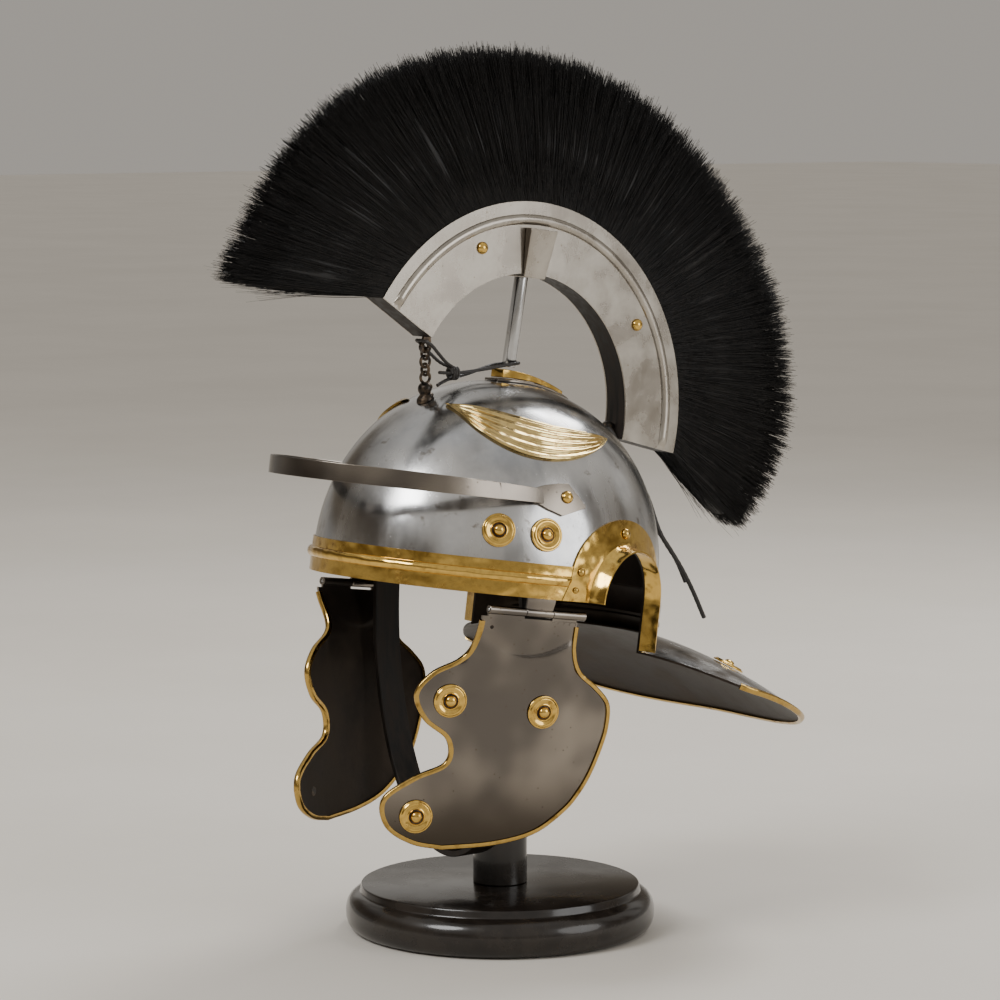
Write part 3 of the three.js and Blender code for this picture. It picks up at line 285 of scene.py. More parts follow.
# %% Building a material
class Finish:
    """One material, with short ways to add its nodes."""

    def __init__(self, name):
        self.material = bpy.data.materials.new(name)
        self.material.use_nodes = True
        self.tree = self.material.node_tree
        self.shader = self.tree.nodes["Principled BSDF"]
        self.place = self.tree.nodes.new("ShaderNodeTexCoord").outputs["Object"]

    def mask(self, group, **values):
        inputs = {"Vector": self.place, **values}
        return add_node(self.tree, "Group", inputs, node_tree=group).outputs["Mask"]

    def colour(self, mask, low, high):
        """low where the mask is 0 and high where it is 1; either may be another node's output."""
        low, high = ((*tone, 1) if isinstance(tone, tuple) else tone for tone in (low, high))
        inputs = {"Factor": mask, 6: low, 7: high}
        return add_node(self.tree, "Mix", inputs, data_type="RGBA").outputs[2]

    def height(self, low, high):
        """0 up to one height above the table and 1 from another, in metres."""
        split = add_node(self.tree, "SeparateXYZ", {0: self.place})
        return ranged(self.tree, split.outputs["Z"], low, high)

    def number(self, mask, low, high):
        inputs = {"Value": mask, "To Min": low, "To Max": high}
        return add_node(self.tree, "MapRange", inputs).outputs["Result"]

    def bump(self, mask, strength, depth, under=None):
        inputs = {"Strength": strength, "Distance": depth * MM, "Height": mask}
        if under is not None:
            inputs["Normal"] = under
        return add_node(self.tree, "Bump", inputs).outputs["Normal"]

    def feed(self, **sockets):
        """Numbers are set on the shader and outputs are linked to it. Base_Color is its Base Color."""
        for label, value in sockets.items():
            socket = self.shader.inputs[label.replace("_", " ")]
            if isinstance(value, bpy.types.NodeSocket):
                self.tree.links.new(value, socket)
            else:
                socket.default_value = value
        return self.material


# %% Steel, brass and iron
def make_polished_steel():
    """The bowl's blue-grey mirror, with soft upright streaks and a few pits."""
    f = Finish("polished_steel")
    cloud = f.mask(patches, Scale=14, Low=0.35, High=0.7)
    grain = f.mask(streaks, Across=55, Along=5, Low=0.3, High=0.72)
    specks = f.mask(pits, Scale=210, Rim=0.1, Core=0.03)
    spots = f.mask(patches, Scale=90, Low=0.6, High=0.72)
    dents = f.mask(patches, Scale=20, Low=0.2, High=0.8, Detail=1)
    base = f.colour(cloud, (0.36, 0.365, 0.375), (0.62, 0.62, 0.62))
    base = f.colour(grain, base, (0.54, 0.535, 0.525))
    base = f.colour(spots, base, (0.26, 0.235, 0.21))
    return f.feed(
        Base_Color=base,
        Metallic=1.0,
        Roughness=f.number(grain, 0.15, 0.29),
        Normal=f.bump(dents, 0.35, 1.2, f.bump(specks, 0.3, -0.15)),
    )


def make_satin_steel():
    """The cheek guards' warmer, duller sheet, with a painted reflection that darkens it toward its
    bottom.
    """
    f = Finish("satin_steel")
    cloud = f.mask(patches, Scale=9, Low=0.4, High=0.62, Detail=3)
    dents = f.mask(patches, Scale=16, Low=0.2, High=0.8, Detail=1)
    grain = f.mask(streaks, Across=160, Along=35, Low=0.3, High=0.7)
    specks = f.mask(pits, Scale=160, Rim=0.12, Core=0.03)
    base = f.colour(cloud, (0.125, 0.112, 0.10), (0.30, 0.265, 0.225))
    base = f.colour(specks, base, (0.10, 0.08, 0.06))
    # Painted reflection of the dark base: the sheet turns dark brown toward its bottom.
    base = f.colour(f.height(0.075, 0.13), (0.055, 0.045, 0.035), base)
    return f.feed(
        Base_Color=base,
        Metallic=1.0,
        Roughness=f.number(cloud, 0.17, 0.27),
        Normal=f.bump(grain, 0.1, 0.08, f.bump(dents, 0.5, 2.5)),
    )


def make_crest_steel():
    """The crest plates' pale grey sheet, brushed and a little stained."""
    f = Finish("crest_steel")
    cloud = f.mask(patches, Scale=36, Low=0.3, High=0.75)
    grain = f.mask(streaks, Across=220, Along=30, Low=0.3, High=0.7)
    specks = f.mask(pits, Scale=150, Rim=0.1, Core=0.03)
    base = f.colour(cloud, (0.33, 0.30, 0.26), (0.45, 0.42, 0.37))
    base = f.colour(specks, base, (0.22, 0.18, 0.13))
    return f.feed(
        Base_Color=base,
        Metallic=1.0,
        Roughness=f.number(cloud, 0.22, 0.36),
        Normal=f.bump(grain, 0.1, 0.08),
    )


def make_brass(name, light, dark, shine, tarnish):
    """Polished brass; tarnish says how much of it has gone brown."""
    f = Finish(name)
    cloud = f.mask(patches, Scale=75, Low=0.62 - tarnish, High=0.74 - tarnish * 0.6)
    fine = f.mask(patches, Scale=260, Low=0.42, High=0.7)
    dents = f.mask(patches, Scale=70, Low=0.2, High=0.8, Detail=1)
    base = f.colour(cloud, light, dark)
    base = f.colour(fine, base, tuple(lerp(a, b, 0.35) for a, b in zip(light, dark)))
    return f.feed(
        Base_Color=base,
        Metallic=1.0,
        Roughness=f.number(cloud, shine, shine + 0.2),
        Normal=f.bump(dents, 0.5, 0.9, f.bump(fine, 0.08, 0.06)),
    )


def make_painted_shade_steel():
    """Painted shade for the sheets' inner sides and undersides, a dark brown."""
    f = Finish("painted_shade_inside")
    cloud = f.mask(patches, Scale=22, Low=0.35, High=0.7)
    return f.feed(
        Base_Color=f.colour(cloud, (0.019, 0.014, 0.011), (0.048, 0.036, 0.026)),
        Metallic=0.5,
        Specular_IOR_Level=0.2,
        Roughness=f.number(cloud, 0.42, 0.56),
        Normal=f.bump(cloud, 0.2, 0.6),
    )


def make_iron():
    f = Finish("blackened_iron")
    cloud = f.mask(patches, Scale=220, Low=0.4, High=0.65)
    return f.feed(
        Base_Color=f.colour(cloud, (0.022, 0.019, 0.017), (0.12, 0.085, 0.055)),
        Metallic=0.85,
        Roughness=f.number(cloud, 0.28, 0.5),
        Normal=f.bump(cloud, 0.3, 0.2),
    )


polished_steel, satin_steel, crest_steel = make_polished_steel(), make_satin_steel(), make_crest_steel()
brass = make_brass("mottled_brass", (0.72, 0.47, 0.12), (0.30, 0.17, 0.04), 0.13, 0.08)
bright_brass = make_brass("bright_brass", (0.52, 0.34, 0.095), (0.24, 0.14, 0.035), 0.16, 0.08)
leaf_brass = make_brass("pale_brass", (0.74, 0.56, 0.24), (0.36, 0.23, 0.075), 0.17, 0.1)
iron, painted_shade_steel = make_iron(), make_painted_shade_steel()
print("metals:", len(bpy.data.materials))


# %% Lacquer, wood, hair and leather
def make_lacquer():
    """Black gloss over turned wood: faint rings and dust under a clear coat."""
    f = Finish("black_lacquer")
    cloud = f.mask(patches, Scale=30, Low=0.4, High=0.7)
    rings = f.mask(streaks, Across=18, Along=240, Low=0.35, High=0.65)
    return f.feed(
        Base_Color=f.colour(cloud, (0.008, 0.006, 0.005), (0.022, 0.017, 0.013)),
        Roughness=f.number(cloud, 0.2, 0.32),
        Specular_IOR_Level=0.3,
        Coat_Weight=0.35,
        Coat_Roughness=0.08,
        Normal=f.bump(rings, 0.06, 0.1),
    )


def make_dark_wood():
    f = Finish("stained_wood")
    grain = f.mask(streaks, Across=260, Along=24, Low=0.3, High=0.7)
    return f.feed(
        Base_Color=f.colour(grain, (0.007, 0.006, 0.005), (0.024, 0.018, 0.014)),
        Roughness=f.number(grain, 0.45, 0.65),
        Specular_IOR_Level=0.25,
        Normal=f.bump(grain, 0.25, 0.2),
    )


def make_hair():
    """Stiff black bristle: each hair's own shade comes from fine patches."""
    f = Finish("black_hair")
    shade = f.mask(patches, Scale=380, Low=0.35, High=0.7)
    return f.feed(
        Base_Color=f.colour(shade, (0.004, 0.004, 0.0045), (0.017, 0.015, 0.014)),
        Roughness=f.number(shade, 0.42, 0.6),
        Specular_IOR_Level=0.25,
    )


def make_leather():
    f = Finish("black_leather")
    grain = f.mask(patches, Scale=900, Low=0.4, High=0.65)
    wear = f.mask(patches, Scale=140, Low=0.55, High=0.75)
    base = f.colour(grain, (0.012, 0.010, 0.009), (0.03, 0.025, 0.022))
    return f.feed(
        Base_Color=f.colour(wear, base, (0.07, 0.055, 0.045)),
        Roughness=f.number(grain, 0.4, 0.6),
        Normal=f.bump(grain, 0.4, 0.15),
    )


lacquer, dark_wood, hair, leather = make_lacquer(), make_dark_wood(), make_hair(), make_leather()
print("finishes:", [m.name for m in bpy.data.materials])

# %% [markdown]
# ## The laces
# Leather laces tie the crest down. One winds round the foot of the rod and has two short tails, one
# makes a loop over the front eye, and one hangs from the rear eye down the back of the bowl.
# Their routes are the same points as the solids', joined by the same kind of smooth curve.


# %% Smooth routes
def smooth_route(points, steps):
    """Points along a centripetal curve through some points, the same curve as the solid tube's."""
    pts = [np.array(p, float) for p in points]
    pts = [2 * pts[0] - pts[1], *pts, 2 * pts[-1] - pts[-2]]
    dense = []
    for p0, p1, p2, p3 in zip(pts, pts[1:], pts[2:], pts[3:]):
        knots = [0.0]
        for a, b in ((p0, p1), (p1, p2), (p2, p3)):
            knots.append(knots[-1] + max(np.linalg.norm(b - a), 1e-6) ** 0.5)
        k0, k1, k2, k3 = knots
        for k in np.linspace(k1, k2, 12, endpoint=False):
            a1 = (k1 - k) / (k1 - k0) * p0 + (k - k0) / (k1 - k0) * p1
            a2 = (k2 - k) / (k2 - k1) * p1 + (k - k1) / (k2 - k1) * p2
            a3 = (k3 - k) / (k3 - k2) * p2 + (k - k2) / (k3 - k2) * p3
            b1 = (k2 - k) / (k2 - k0) * a1 + (k - k0) / (k2 - k0) * a2
            b2 = (k3 - k) / (k3 - k1) * a2 + (k - k1) / (k3 - k1) * a3
            dense.append((k2 - k) / (k2 - k1) * b1 + (k - k1) / (k2 - k1) * b2)
    dense.append(pts[-2])
    dense = np.array(dense)
    along = np.concatenate([[0], np.cumsum(np.linalg.norm(np.diff(dense, axis=0), axis=1))])
    even = np.linspace(0, along[-1], steps + 1)
    return np.stack([np.interp(even, along, dense[:, axis]) for axis in range(3)], -1)


def tube(path, radius, sides=10, rib=0.0, ribs_per_mm=0.0):
    """A round tube along a path, with small ribs like a twisted thong."""
    ahead = np.gradient(path, axis=0)
    ahead /= np.linalg.norm(ahead, axis=1, keepdims=True)
    normal = np.cross(ahead[0], [0, 0, 1])
    if np.linalg.norm(normal) < 0.1:
        normal = np.cross(ahead[0], [1, 0, 0])
    along = np.concatenate([[0], np.cumsum(np.linalg.norm(np.diff(path, axis=0), axis=1))])
    rings = []
    for i, (at, step) in enumerate(zip(path, ahead)):
        normal = normal - step * np.dot(normal, step)
        normal /= np.linalg.norm(normal)
        other = np.cross(step, normal)
        turn = np.arange(sides) / sides * 2 * math.pi
        swell = radius * (1 + rib * np.cos(turn * 2 - along[i] * ribs_per_mm * 2 * math.pi))
        spokes = np.cos(turn)[:, None] * normal + np.sin(turn)[:, None] * other
        rings.append(at + swell[:, None] * spokes)
    return bar(rings)


# %% Laces
LACES = [
    {
        "name": "lace_on_rod",
        "node": "front_lace",
        "diameter": 2.2,
        "route": [
            (5.5, -53.5, 363.5), (4.2, -46, 362.8), (3.2, -39.5, 362.4), (4.4, -28, 363),
            (6.2, -12, 364.6), (7, 0, 366), (5.6, 10, 366.4), (0, 14.2, 366.2),
            (-5.4, 10.4, 366), (-7, 1, 365.4), (-5.6, -10, 363.6), (-3, -22, 361.4),
            (-0.6, -33, 359.8), (0.4, -40, 359), (1.4, -47, 357.2), (2.8, -53, 355.2),
        ],
    },
    {
        "name": "lace_on_eye",
        "node": "front_loop",
        "diameter": 2.2,
        "route": [
            (2.2, -38.5, 365.2), (3.4, -46, 369.2), (4.6, -54, 376), (5, -60, 381.5),
            (3.2, -64.6, 383.8), (0, -65.8, 384), (-3.2, -64.6, 383.8), (-5, -60, 381.5),
            (-4.6, -54, 376), (-3.4, -46, 369.2), (-1.6, -38.5, 365.6),
        ],
    },
    {
        "name": "lace_at_back",
        "node": "rear_lace",
        "diameter": 3.0,
        "route": [
            (28, 151.2, 192.4), (28, 140.6, 211.9), (28, 129.3, 229.3), (27.4, 112.6, 252),
            (22, 106.5, 275), (14.5, 100, 295), (10, 94, 306), (6.5, 91.4, 314),
            (3, 90.2, 319.4), (0, 90.1, 320.4), (-3, 90.2, 319.4), (-6.5, 91.4, 314),
            (-7, 96, 304), (-2, 103, 290), (8, 109, 272), (21.4, 116.2, 252),
            (23.4, 129.8, 233), (23.6, 138.6, 217),
        ],
    },
]

for lace in LACES:
    path = smooth_route(lace["route"], 150)
    form = tube(path, lace["diameter"] / 2, 10, 0.07, 0.35)
    obj = piece(lace["name"], form, leather, [lace["node"]], sharp=60)

# %% [markdown]
# A knot holds the laces together at the rod's foot. It is a short cord wound a few times round the place
# where the lace meets itself, which reads as a knot at this size. The tails at the back hang free.

# %% Knot
turn = np.linspace(0, 3.2 * 2 * math.pi, 90)
knot_path = np.stack(
    [1.4 + 3.1 * np.cos(turn), -39.6 + 0.28 * (turn - turn.mean()), 362.2 + 3.6 * np.sin(turn)], -1
)
knot = piece("lace_knot", tube(knot_path, 1.0, 8), leather, [], sharp=60)

# %% [markdown]
# ## The helmet's own frame
# The helmet leans back 8 degrees on its stand, so it is drawn upright in a frame of its own and then
# turned and lifted. The bowl is a squarish ellipsoid, and a point on it is named by how far round it is
# from the brow and how high it is above the brow line.

# %% Sizes and surfaces of the helmet
LIFT, SETBACK, TILT = 236, 11, math.radians(8)
HALF_WIDTH, HALF_LENGTH, HEIGHT, POWER = 100, 117.5, 120, 2.09
GAP, STEEL, SHEET_BRASS = 0.3, 1.5, 1.0
BROW_DROP = 12
EAR = {"middle": 32.2, "half": 29, "spring": -10, "rise": 33.8, "flange": 16.5}


def row(form):
    """A form of the helmet's own frame, tilted and lifted onto the stand."""
    points, faces = form
    c, s = math.cos(TILT), math.sin(TILT)
    x, y, z = points.T
    return np.stack([x, -SETBACK + c * y + s * z, LIFT - s * y + c * z], -1), faces


def reach_at(height, out=0.0):
    share = np.clip(np.maximum(height, 0) / (HEIGHT + out), 0, 1)
    return (1 - share**POWER) ** (1 / POWER)


def bowl_point(around, height, out=0.0):
    reach = reach_at(height, out)
    x = (HALF_WIDTH + out) * reach * np.sin(around)
    y = -(HALF_LENGTH + out) * reach * np.cos(around)
    return np.stack([x, y, height + 0 * x], -1)


def around_at(back, height):
    return np.arccos(np.clip(-back / (HALF_LENGTH * reach_at(height)), -1, 1))


def seat(back, height, out=0.0):
    """The left side's point at a distance behind the middle."""
    return bowl_point(around_at(back, height), height, out)


def crown(side, back, out=0.0):
    plan = np.hypot(side / (HALF_WIDTH + out), back / (HALF_LENGTH + out))
    return np.stack([side, back, (HEIGHT + out) * (1 - plan**POWER) ** (1 / POWER)], -1)


def bowl_normal(at):
    x, y, z = at
    plan = math.hypot(x / HALF_WIDTH, y / HALF_LENGTH)
    flat = np.array([x / HALF_WIDTH**2, y / HALF_LENGTH**2, 0]) * plan ** (POWER - 2)
    flat[2] = (max(z, 0) / HEIGHT) ** (POWER - 1) / HEIGHT
    return flat / np.linalg.norm(flat)


# %% [markdown]
# ## Neck guard
# The guard is a broad sheet that grows out of the bowl's back rim. It is arched from side to side and
# bends down toward its rear edge. Its edge is wrapped in a folded strip of brass.

# %% Neck guard and folded edges
GUARD = {
    "start": 61, "drop": 32, "half_width": 143, "reach": 214, "power": 2.4, "arch": 26.4, "rise": 0.19,
    "bend": 79.6,
}


def guard_height(side, back):
    behind = back - GUARD["start"]
    bend = GUARD["bend"] * (behind / (GUARD["reach"] - GUARD["start"])) ** 2
    arch = GUARD["arch"] * (side / GUARD["half_width"]) ** 2
    return -GUARD["drop"] + GUARD["rise"] * behind - bend - arch


def guard_normal(side, back):
    tilt = -GUARD["arch"] * 2 * side / GUARD["half_width"] ** 2
    reach = GUARD["reach"] - GUARD["start"]
    fall = GUARD["rise"] - 2 * GUARD["bend"] * (back - GUARD["start"]) / reach**2
    normal = np.stack([-tilt, -fall, 1 + 0 * side], -1)
    return normal / np.linalg.norm(normal, axis=-1, keepdims=True)


def guard_edge(share):
    start, reach, wide = GUARD["start"], GUARD["reach"], GUARD["half_width"]
    widest = lerp(start, reach, 0.35)
    flare = 0.26
    half = 1 - np.abs(2 * share - 1)
    leg = bowl_point(around_at(start, 0), 0)[0]
    t = np.clip(half / flare, 0, 1)
    turn = np.clip((half - flare) / (1 - flare), 0, 1) * math.pi / 2
    side = np.where(
        half < flare,
        lerp(leg, wide, np.sin(t * math.pi / 2)),
        wide * np.maximum(np.cos(turn), 0) ** (2 / GUARD["power"]),
    )
    back = np.where(
        half < flare,
        lerp(start, widest, t),
        widest + (reach - widest) * np.sin(turn) ** (2 / GUARD["power"]),
    )
    return np.where(share <= 0.5, 1, -1) * side, back


def guard_point(share, reach, out):
    start = around_at(GUARD["start"], 0)
    root = bowl_point(lerp(start, 2 * math.pi - start, share), 0 * share, 2 * GAP)
    side, back = guard_edge(share)
    x, y = lerp(root[..., 0], side, reach), lerp(root[..., 1], back, reach)
    return np.stack([x, y, guard_height(x, y)], -1) + guard_normal(x, y) * out


EDGE_DEPTH, EDGE_NOSE = 1.8, 1.1


def edging(points, normals):
    """A U of folded brass along a rim: points on the sheet's middle, and the sheet's normals."""
    points, normals = np.asarray(points), np.asarray(normals)
    ahead = np.gradient(points, axis=0)
    away = np.cross(ahead, normals)
    away /= np.linalg.norm(away, axis=1, keepdims=True)
    slot = STEEL / 2 + GAP
    face = slot + 0.8 * SHEET_BRASS
    turn = np.linspace(math.pi / 2, -math.pi / 2, 9)
    rounded = [(GAP + (EDGE_NOSE - GAP) * math.cos(t), face * math.sin(t)) for t in turn]
    section = [(-EDGE_DEPTH, slot), (-EDGE_DEPTH, face), *rounded, (-EDGE_DEPTH, -face)]
    section += [(-EDGE_DEPTH, -slot), (GAP, -slot), (GAP, slot)]
    frames = zip(points, away, normals)
    return bar([[at + out * side + up * normal for out, up in section] for at, side, normal in frames])


guard = slab(150, 16, lambda u, v, layer: guard_point(u, v, -STEEL * layer))
guard_obj = piece("neck_guard_sheet", row(guard), polished_steel, ["neck_guard"])
# The guard's underside gets painted shade.
paint_shade_inside(guard_obj, painted_shade_steel, lambda at, normal: normal.z < 0)
shares = np.linspace(0.1, 0.9, 140)
rim = guard_point(shares, 1 + 0 * shares, -STEEL / 2)
rolled = edging(rim, guard_normal(rim[:, 0], rim[:, 1]))
piece("neck_guard_rim", row(rolled), bright_brass, ["neck_guard_edging"], sharp=50)

# %% [markdown]
# ## Bosses and rivets
# A boss is a shallow brass dish with a raised rim and a knob in its middle. A rivet is a small dome.
# Both are profiles turned about their own axis and stood on the sheet.

# %% Bosses and rivets
BOSS_PROFILE = [
    (0, 0), (10.5, 0), (10.5, 0.7), (10.3, 1.0), (9.9, 1.15), (9.6, 1.1), (9.4, 1.3), (8.9, 1.85),
    (8.3, 2.0), (7.6, 1.8), (6.6, 1.35), (5.8, 1.2), (5.4, 1.5), (5.0, 1.6), (4.7, 1.4), (4.5, 0.7),
    (3.6, 0.6), (3.55, 1.6), (3.3, 2.6), (2.6, 3.4), (1.5, 3.9), (0, 4.1),
]
BOSS_GROOVE = [(3.4, 0.4), (4.75, 0.4), (4.75, 1.2), (4.45, 0.85), (3.7, 0.8), (3.4, 1.0)]
RIVET_PROFILE = [
    (0, 0), (1, 0), (1, 0.12), (0.93, 0.3), (0.76, 0.52), (0.5, 0.7), (0.25, 0.78), (0, 0.8),
]


def boss():
    return turned(BOSS_PROFILE, 48)


def boss_groove():
    """A black ring in the groove round the knob."""
    return turned(BOSS_GROOVE, 40, True)


def rivet(radius):
    return turned([(r * radius, h * radius) for r, h in RIVET_PROFILE], 28)


def pair(name, form, finish, node):
    """The same form on both sides of the helmet."""
    for side, shape in (("left", form), ("right", mirrored(form))):
        piece(f"{name}_{side}", row(shape), finish, [f"{node}_{side}"] if node else [])


def bossed(name, groove_name, node, foot, normal):
    """A boss and its groove on both sides of the helmet."""
    foot = foot + normal * GAP
    pair(name, stood_on(boss(), foot, normal), brass, node)
    pair(groove_name, stood_on(boss_groove(), foot, normal), iron, None)


GUARD_BOSS_SIDE, GUARD_BOSS_BACK = 88.0, 137.0
foot = np.array([GUARD_BOSS_SIDE, GUARD_BOSS_BACK, guard_height(GUARD_BOSS_SIDE, GUARD_BOSS_BACK)])
bossed("guard_boss", "guard_boss_groove", "neck_guard_boss", foot, guard_normal(*foot[:2]))

# %% [markdown]
# ## Bowl
# The bowl is raised from one sheet, with two rounded ridges across the nape and an arched opening for
# each ear. The grid is fine enough to reflect smoothly, and a boolean cuts both ear openings at once.


# %% Bowl
NAPE_RIDGES = table("up half out", (-14.1, 10, 4), (-26.9, 5, 3.6))
RIM_SHARE = 0.42  # of the sheet's rows, below the brow line


def ridge(height, middle, half, size):
    return size * np.sqrt(np.clip(1 - ((height - middle) / half) ** 2, 0, 1))


def bowl_sheet(u, v, layer):
    around = u * 2 * math.pi
    out = -STEEL * layer
    base = bowl_point(around, 0 * around)
    front = base[..., 1] < EAR["middle"]
    nape = guard_height(base[..., 0], base[..., 1])
    rim = np.where(front, -BROW_DROP, nape - STEEL)
    lift = np.clip((v - RIM_SHARE) / (1 - RIM_SHARE), 0, 1) * math.pi / 2
    dome = (HEIGHT + out) * np.sin(lift) ** (2 / POWER)
    height = np.where(v < RIM_SHARE, lerp(rim, 0, v / RIM_SHARE), dome)
    start = around_at(EAR["middle"] + EAR["half"] + EAR["flange"] + 2, 0)
    inside = smooth((around - start) / 0.05) * smooth((2 * math.pi - start - around) / 0.05)
    drop = nape - guard_height(0, HALF_LENGTH)
    swell = sum(ridge(height, r["up"] + drop, r["half"], r["out"]) for r in NAPE_RIDGES)
    points = bowl_point(around, height, out)
    push = np.stack([np.sin(around), -np.cos(around), 0 * around], -1)
    return points + push * (swell * inside * np.where(front, 0, 1))[..., None]


def cut(obj, tool_form):
    """Takes a form out of an object's mesh for good."""
    tool = linked("cutter", mesh_of("cutter", tool_form))
    change = obj.modifiers.new("cut", "BOOLEAN")
    change.operation = "DIFFERENCE"
    change.solver = "EXACT"
    change.object = tool
    bpy.context.view_layer.update()
    shape = bpy.data.meshes.new_from_object(obj.evaluated_get(bpy.context.evaluated_depsgraph_get()))
    obj.modifiers.remove(change)
    obj.data = shape
    bpy.data.objects.remove(tool)
    shape.shade_smooth()
    shape.set_sharp_from_angle(angle=math.radians(40))


bowl = piece("bowl_sheet", row(slab(216, 84, bowl_sheet, True)), polished_steel, ["bowl"])


def ear_arch(turn):
    """Distance back and height of the ear opening's edge."""
    return EAR["middle"] + EAR["half"] * math.cos(turn), EAR["spring"] + EAR["rise"] * math.sin(turn)


arch = [ear_arch(turn) for turn in np.linspace(math.pi, 0, 40)]
arch = [(EAR["middle"] - EAR["half"], -HEIGHT), *arch, (EAR["middle"] + EAR["half"], -HEIGHT)]
PAST_THE_BOWL = 130
cut(bowl, row(bar([[(x, y, z) for y, z in arch] for x in (-PAST_THE_BOWL, PAST_THE_BOWL)])))
heart = Vector((0, -SETBACK, LIFT))
# The bowl's inside gets painted shade.
paint_shade_inside(bowl, painted_shade_steel, lambda at, normal: normal.dot(at - heart) < 0)
print("bowl:", len(bowl.data.polygons), "faces")

# %% [markdown]
# ## Brow band and peak
# A brass band with a half-round bead runs round the brow from one ear to the other. Above it a strip of
# steel stands off the front of the bowl to stop a downward blow. Its ends are pointed lugs, riveted on.


# %% Brow band
FLANGE_HALF = EAR["half"] + EAR["flange"]
FLANGE_SPRING = EAR["spring"] + EAR["flange"] * 0.65
FLANGE_RISE = EAR["rise"] + EAR["flange"] * 0.39
FLANGE_SPLAY = 0.4


def flange_front(height):
    """How far back the ear flange's front edge is at a height."""
    if height < FLANGE_SPRING:
        return EAR["middle"] - FLANGE_HALF - (FLANGE_SPRING - height) * FLANGE_SPLAY
    return EAR["middle"] - FLANGE_HALF * math.sqrt(1 - ((height - FLANGE_SPRING) / FLANGE_RISE) ** 2)


BAND_TOP, BEAD_OUT, BEAD_HALF = 9.5, 2.6, 3.3
BAND_FACE = GAP + SHEET_BRASS
half_turn = np.linspace(-math.pi / 2, math.pi / 2, 11)
bead = [(BAND_FACE + BEAD_OUT * math.cos(t), BEAD_HALF * math.sin(t)) for t in half_turn]
band_section = [(GAP, -BROW_DROP), (BAND_FACE, -BROW_DROP), *bead]
band_section += [(BAND_FACE, BAND_TOP), (GAP, BAND_TOP)]
rings = []
for turn in np.linspace(-1, 1, 150):
    taper = float(smooth((1 - abs(turn)) / 0.02))
    ring = []
    for out, height in band_section:
        end = float(around_at(flange_front(height) - 2 * GAP, height))
        if out > BAND_FACE:
            out = BAND_FACE + (out - BAND_FACE) * lerp(0.45, 1, taper)
        ring.append(bowl_point(turn * end, height, out))
    rings.append(ring)
piece("brow_band_beaded", row(bar(rings)), brass, ["brow_band"], sharp=45)

# %% Peak
PEAK = {"half_width": 89.6, "reach": 130, "start": 34, "middle": 52.5, "depth": 11}
PEAK_END_DROP, PEAK_END_TAPER, PEAK_END_LEAN = 1.5, 0.22, 0.34
LUG_TIP, LUG_LENGTH, LUG_DEPTH, LUG_RIVET_AT = 3.4, 35, 20, 0.39
RIVET_RADIUS = 4
rings = []
for turn in np.linspace(-1, 1, 160):
    half = PEAK["depth"] / 2 * (1 - PEAK_END_TAPER * turn**4)
    middle = PEAK["middle"] - PEAK_END_DROP * turn**4
    lean = PEAK_END_LEAN * turn**4
    corners = [(0, -1), (0, 1), (0.3, 1.05), (STEEL - 0.3, 1.05), (STEEL, 1), (STEEL, -1)]
    angle = turn * math.pi / 2
    rings.append(
        [
            (
                (PEAK["half_width"] - inward - lean * up * half) * math.sin(angle),
                -PEAK["start"] - (PEAK["reach"] - inward) * math.cos(angle),
                middle + up * half,
            )
            for inward, up in corners
        ]
    )
strip = bar(rings)
LUG = table(
    "forward low high",
    (1, -0.28, 0.13),
    (0.78, -0.46, 0.27),
    (0.5, -0.62, 0.36),
    (0.31, -0.5, 0.38),
    (0, -0.32, -0.26),
)


def lug_sheet(u, v, layer):
    stops = np.linspace(0, 1, len(LUG))
    forward, low, high = (np.interp(u, stops, [r[key] for r in LUG]) for key in LUG[0])
    height = PEAK["middle"] + LUG_DEPTH * lerp(low, high, v)
    return seat(-LUG_TIP - forward * LUG_LENGTH, height, GAP if layer else GAP + STEEL)


lug = slab(32, 8, lug_sheet)
peak = together(strip, lug, mirrored(lug))
piece("peak_strip", row(peak), satin_steel, ["peak"], bevel=0.3)
foot = seat(-LUG_TIP - LUG_RIVET_AT * LUG_LENGTH, PEAK["middle"] - PEAK_END_DROP)
normal = bowl_normal(foot)
head = stood_on(rivet(RIVET_RADIUS), foot + normal * (2 * GAP + STEEL), normal)
pair("peak_rivet_head", head, brass, "peak_rivet")

# %% [markdown]
# ## Ear guards
# A brass flange is riveted round each ear opening, and its inner edge is turned out into a lip that
# keeps blades off the ear.


# %% Ear guards
def rear_drop(back):
    at = seat(back, 0.0)
    return float(guard_height(at[0], back)) + GAP


stations = []
for t in np.linspace(0, 1, 14, endpoint=False):
    low = lerp(-BROW_DROP, EAR["spring"], t)
    outer = lerp(-BROW_DROP, FLANGE_SPRING, t)
    stations.append(((EAR["middle"] - EAR["half"], low), (flange_front(outer), outer)))
for turn in np.linspace(math.pi, 0, 70):
    outer = (EAR["middle"] + FLANGE_HALF * math.cos(turn), FLANGE_SPRING + FLANGE_RISE * math.sin(turn))
    stations.append((ear_arch(turn), outer))
ends = (EAR["middle"] + EAR["half"], EAR["middle"] + FLANGE_HALF)
for t in np.linspace(0, 1, 20)[1:]:
    inner = (ends[0], lerp(EAR["spring"], rear_drop(ends[0]), t))
    stations.append((inner, (ends[1], lerp(FLANGE_SPRING, rear_drop(ends[1]), t))))

